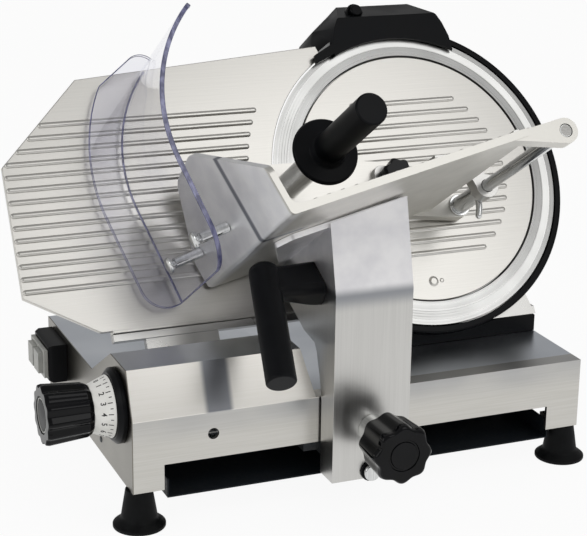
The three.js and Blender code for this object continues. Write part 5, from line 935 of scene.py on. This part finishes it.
# The rod's end is faced on a lathe. Its finish is a darker copy of the rod's, painted shade so that it
# doesn't clip to white.
rod_end_painted_shade = finish("rod_end_painted_shade", 1.2, 2.0, ("#8B8A87", "#A2A19E"), (0.30, 0.36), Metallic=1.0)
rod_face = [[0, 238.9], [5.1, 238.9], [5.1, 239.25], [0, 239.25]]
piece("pusher_guide_rod", [
    spun(rod_profile, at_rod, sides=48), spun(rod_face, at_rod, sides=48)],
    [polished_steel, rod_end_painted_shade], ["pusher_rod"])

# %% [markdown]
# ## Push handle
# A moulded handle bolted to the column: a thick root that swells out of the column's side and turns into
# a round grip that leans towards the operator. The root is a loft between two rounded four-sided sections.

# %% Push handle
grip_end = filleted(
    [[0, -8], [8, -8], [12.6, -4], [13.3, 0], [13.3, 109], [12.0, 110.4], [0, 110.4]],
    [0, 3, 3, 3, 1.5, 1.5, 0], 5)
GRIP_WAY = np.array([[-16.5, -103.0, 36.0]])
GRIP_START = [-222.5, -106, 114]
down_slope = turned_to(
    on_blade_plane, unit(GRIP_WAY)[0], unit(np.cross(GRIP_WAY, [0.0, 0.0, 1.0]))[0], GRIP_START)
root_start = filleted([[-127, 124], [-95, 102], [-112, 66], [-138, 102]], [7, 7, 9, 7], 7)
root_stop = filleted([[-132, 134], [-102, 124], [-102, 102], [-132, 112]], 8, 7)
share = np.linspace(0, 1, 13)
ease = (share ** 2 * (3 - 2 * share))[:, None, None]
root_section = root_start * (1 - ease) + root_stop * ease
root_u = np.broadcast_to((-169.9 - 54.4 * share)[:, None, None], (*root_section.shape[:2], 1))
piece("push_grip", [
    spun(grip_end, down_slope, sides=72),
    skin(on_blade_plane(np.concatenate([root_u, root_section], -1)))], black_plastic, ["push_handle"])

# %% [markdown]
# ## Small screws
# A brass screw behind the dial's scale and a dark one below it hold the control's bearing inside the wall.
# Each is a low dome, spun.

# %% Side screws
brass = finish("brass", 3, 2.0, ("#A98A4E", "#C9AC6C"), (0.25, 0.4), Metallic=1.0)
dome = np.linspace(0, np.pi / 2, 7)
side_dome = np.concatenate([[[0, -1.0], [3.0, -1.0]], [3.0, 1.1] * on_circle(dome)])
for name, y, z, kind in (("side_screw_high", 103, 91, brass), ("side_screw_low", 98, 49, dark_steel)):
    place = turned_to(on_bench, [-1, 0, 0], [0, 0, 1], [LEFT_SIDE, y, z])
    piece(name, [spun(side_dome, place, sides=32)], kind, [], body="base")

# %% [markdown]
# ## Feet
# Rubber cones with a flared rim, moulded round a stud. One profile, spun at each corner.

# %% Feet
foot_profile = filleted([[0, 0], [23.6, 0], [23.6, 3], [16.5, 8.5], [12, 35.7], [0, 35.7]],
                        [0, 0.8, 1.2, 5, 1, 0], 5)
for name, x, y in (("foot_front_left", -228.7, 13), ("foot_rear_left", -228.7, 271.2),
                   ("foot_front_right", 198.5, 13), ("foot_rear_right", 198.5, 271.2)):
    piece(name.replace("foot", "rubber_foot"), [
        spun(foot_profile, lambda q, x=x, y=y: on_bench(q + [x, y, 0]), sides=72)], black_rubber, [name])

# %% [markdown]
# ## The dial's scale
# White acetal cone, printed with plain figures and ticks. The marks are thin raised shapes laid on the
# cone: a flat (x, y) in millimetres becomes an angle x / radius and a distance y along the cone's slant.

# %% Dial scale
SLANT = math.hypot(CONE_RISE, CONE_FOOT - CONE_TOP)
INK_LOW, INK_HIGH = -0.25, 0.14


def on_cone(flat, lift):
    """(across, up the slant) millimetres on the cone: angle = across / mean radius, radius falls evenly
    from 28.3 to 21.4 as the height grows to 18, and lift raises the point off the surface."""
    across, up = flat[..., 0], flat[..., 1]
    share = up / SLANT
    radius = CONE_FOOT - (CONE_FOOT - CONE_TOP) * share + lift * CONE_RISE / SLANT
    height = CONE_RISE * share + lift * (CONE_FOOT - CONE_TOP) / SLANT
    angle = across / CONE_MEAN
    local = np.stack([radius * np.cos(angle), radius * np.sin(angle), height], -1)
    return dial_place(SCALE_FACE)(local)


def mark(corners):
    """A closed sliver over a four-cornered patch of the cone."""
    corners = np.asarray(corners, float)
    return skin(np.stack([on_cone(corners, INK_LOW), on_cone(corners, INK_HIGH)]))


FIGURES, FIGURE_STEP, SCALE_START = 10, math.radians(22), math.radians(4)
TICK_FOOT, LONG_TICK, SHORT_TICK = 3.0, (4.4, 0.36), (2.5, 0.33)
marks = []
for k in range(FIGURES * 2 - 1):
    at = CONE_MEAN * (SCALE_START - FIGURE_STEP * k / 2)
    length, half = LONG_TICK if k % 2 == 0 else SHORT_TICK
    left, right, top = at - half, at + half, TICK_FOOT + length
    marks.append(mark([[left, TICK_FOOT], [right, TICK_FOOT], [right, top], [left, top]]))
# Printing ink, a satin black.
black_print = finish("black_print", 6, 1.0, ("#141416", "#202024"), Metallic=0.0, IOR=1.5, Roughness=0.4)
FIGURE_SIZE, FIGURE_TOP = 6.8, 13.4


def figure(text, at):
    """Outlines of a text object, made a mesh first, then bent onto the cone with its foot towards the knob
    and given thickness."""
    curve = bpy.data.curves.new("figure", "FONT")
    curve.body, curve.size, curve.align_x, curve.extrude = text, FIGURE_SIZE, "CENTER", 0.5
    curve.offset, curve.resolution_u = 0.1, 3
    flat = bpy.data.objects.new("figure", curve)
    bpy.context.scene.collection.objects.link(flat)
    shape = bpy.data.meshes.new_from_object(flat.evaluated_get(bpy.context.evaluated_depsgraph_get()))
    points = np.zeros(len(shape.vertices) * 3)
    shape.vertices.foreach_get("co", points)
    points = points.reshape(-1, 3)
    faces = [list(face.vertices) for face in shape.polygons]
    bpy.data.objects.remove(flat)
    where = np.column_stack([at - points[:, 0], FIGURE_TOP - points[:, 1]])
    return np.where(points[:, 2:] > 0, on_cone(where, INK_HIGH), on_cone(where, INK_LOW)), faces


figures = [figure(str(k), CONE_MEAN * (SCALE_START - FIGURE_STEP * k)) for k in range(FIGURES)]
piece("dial_cone", [spun(scale_profile, dial_place(SCALE_FACE), sides=160), *marks, *figures],
      [white_plastic] + [black_print] * (len(marks) + len(figures)), ["dial_scale"], sharp=50)
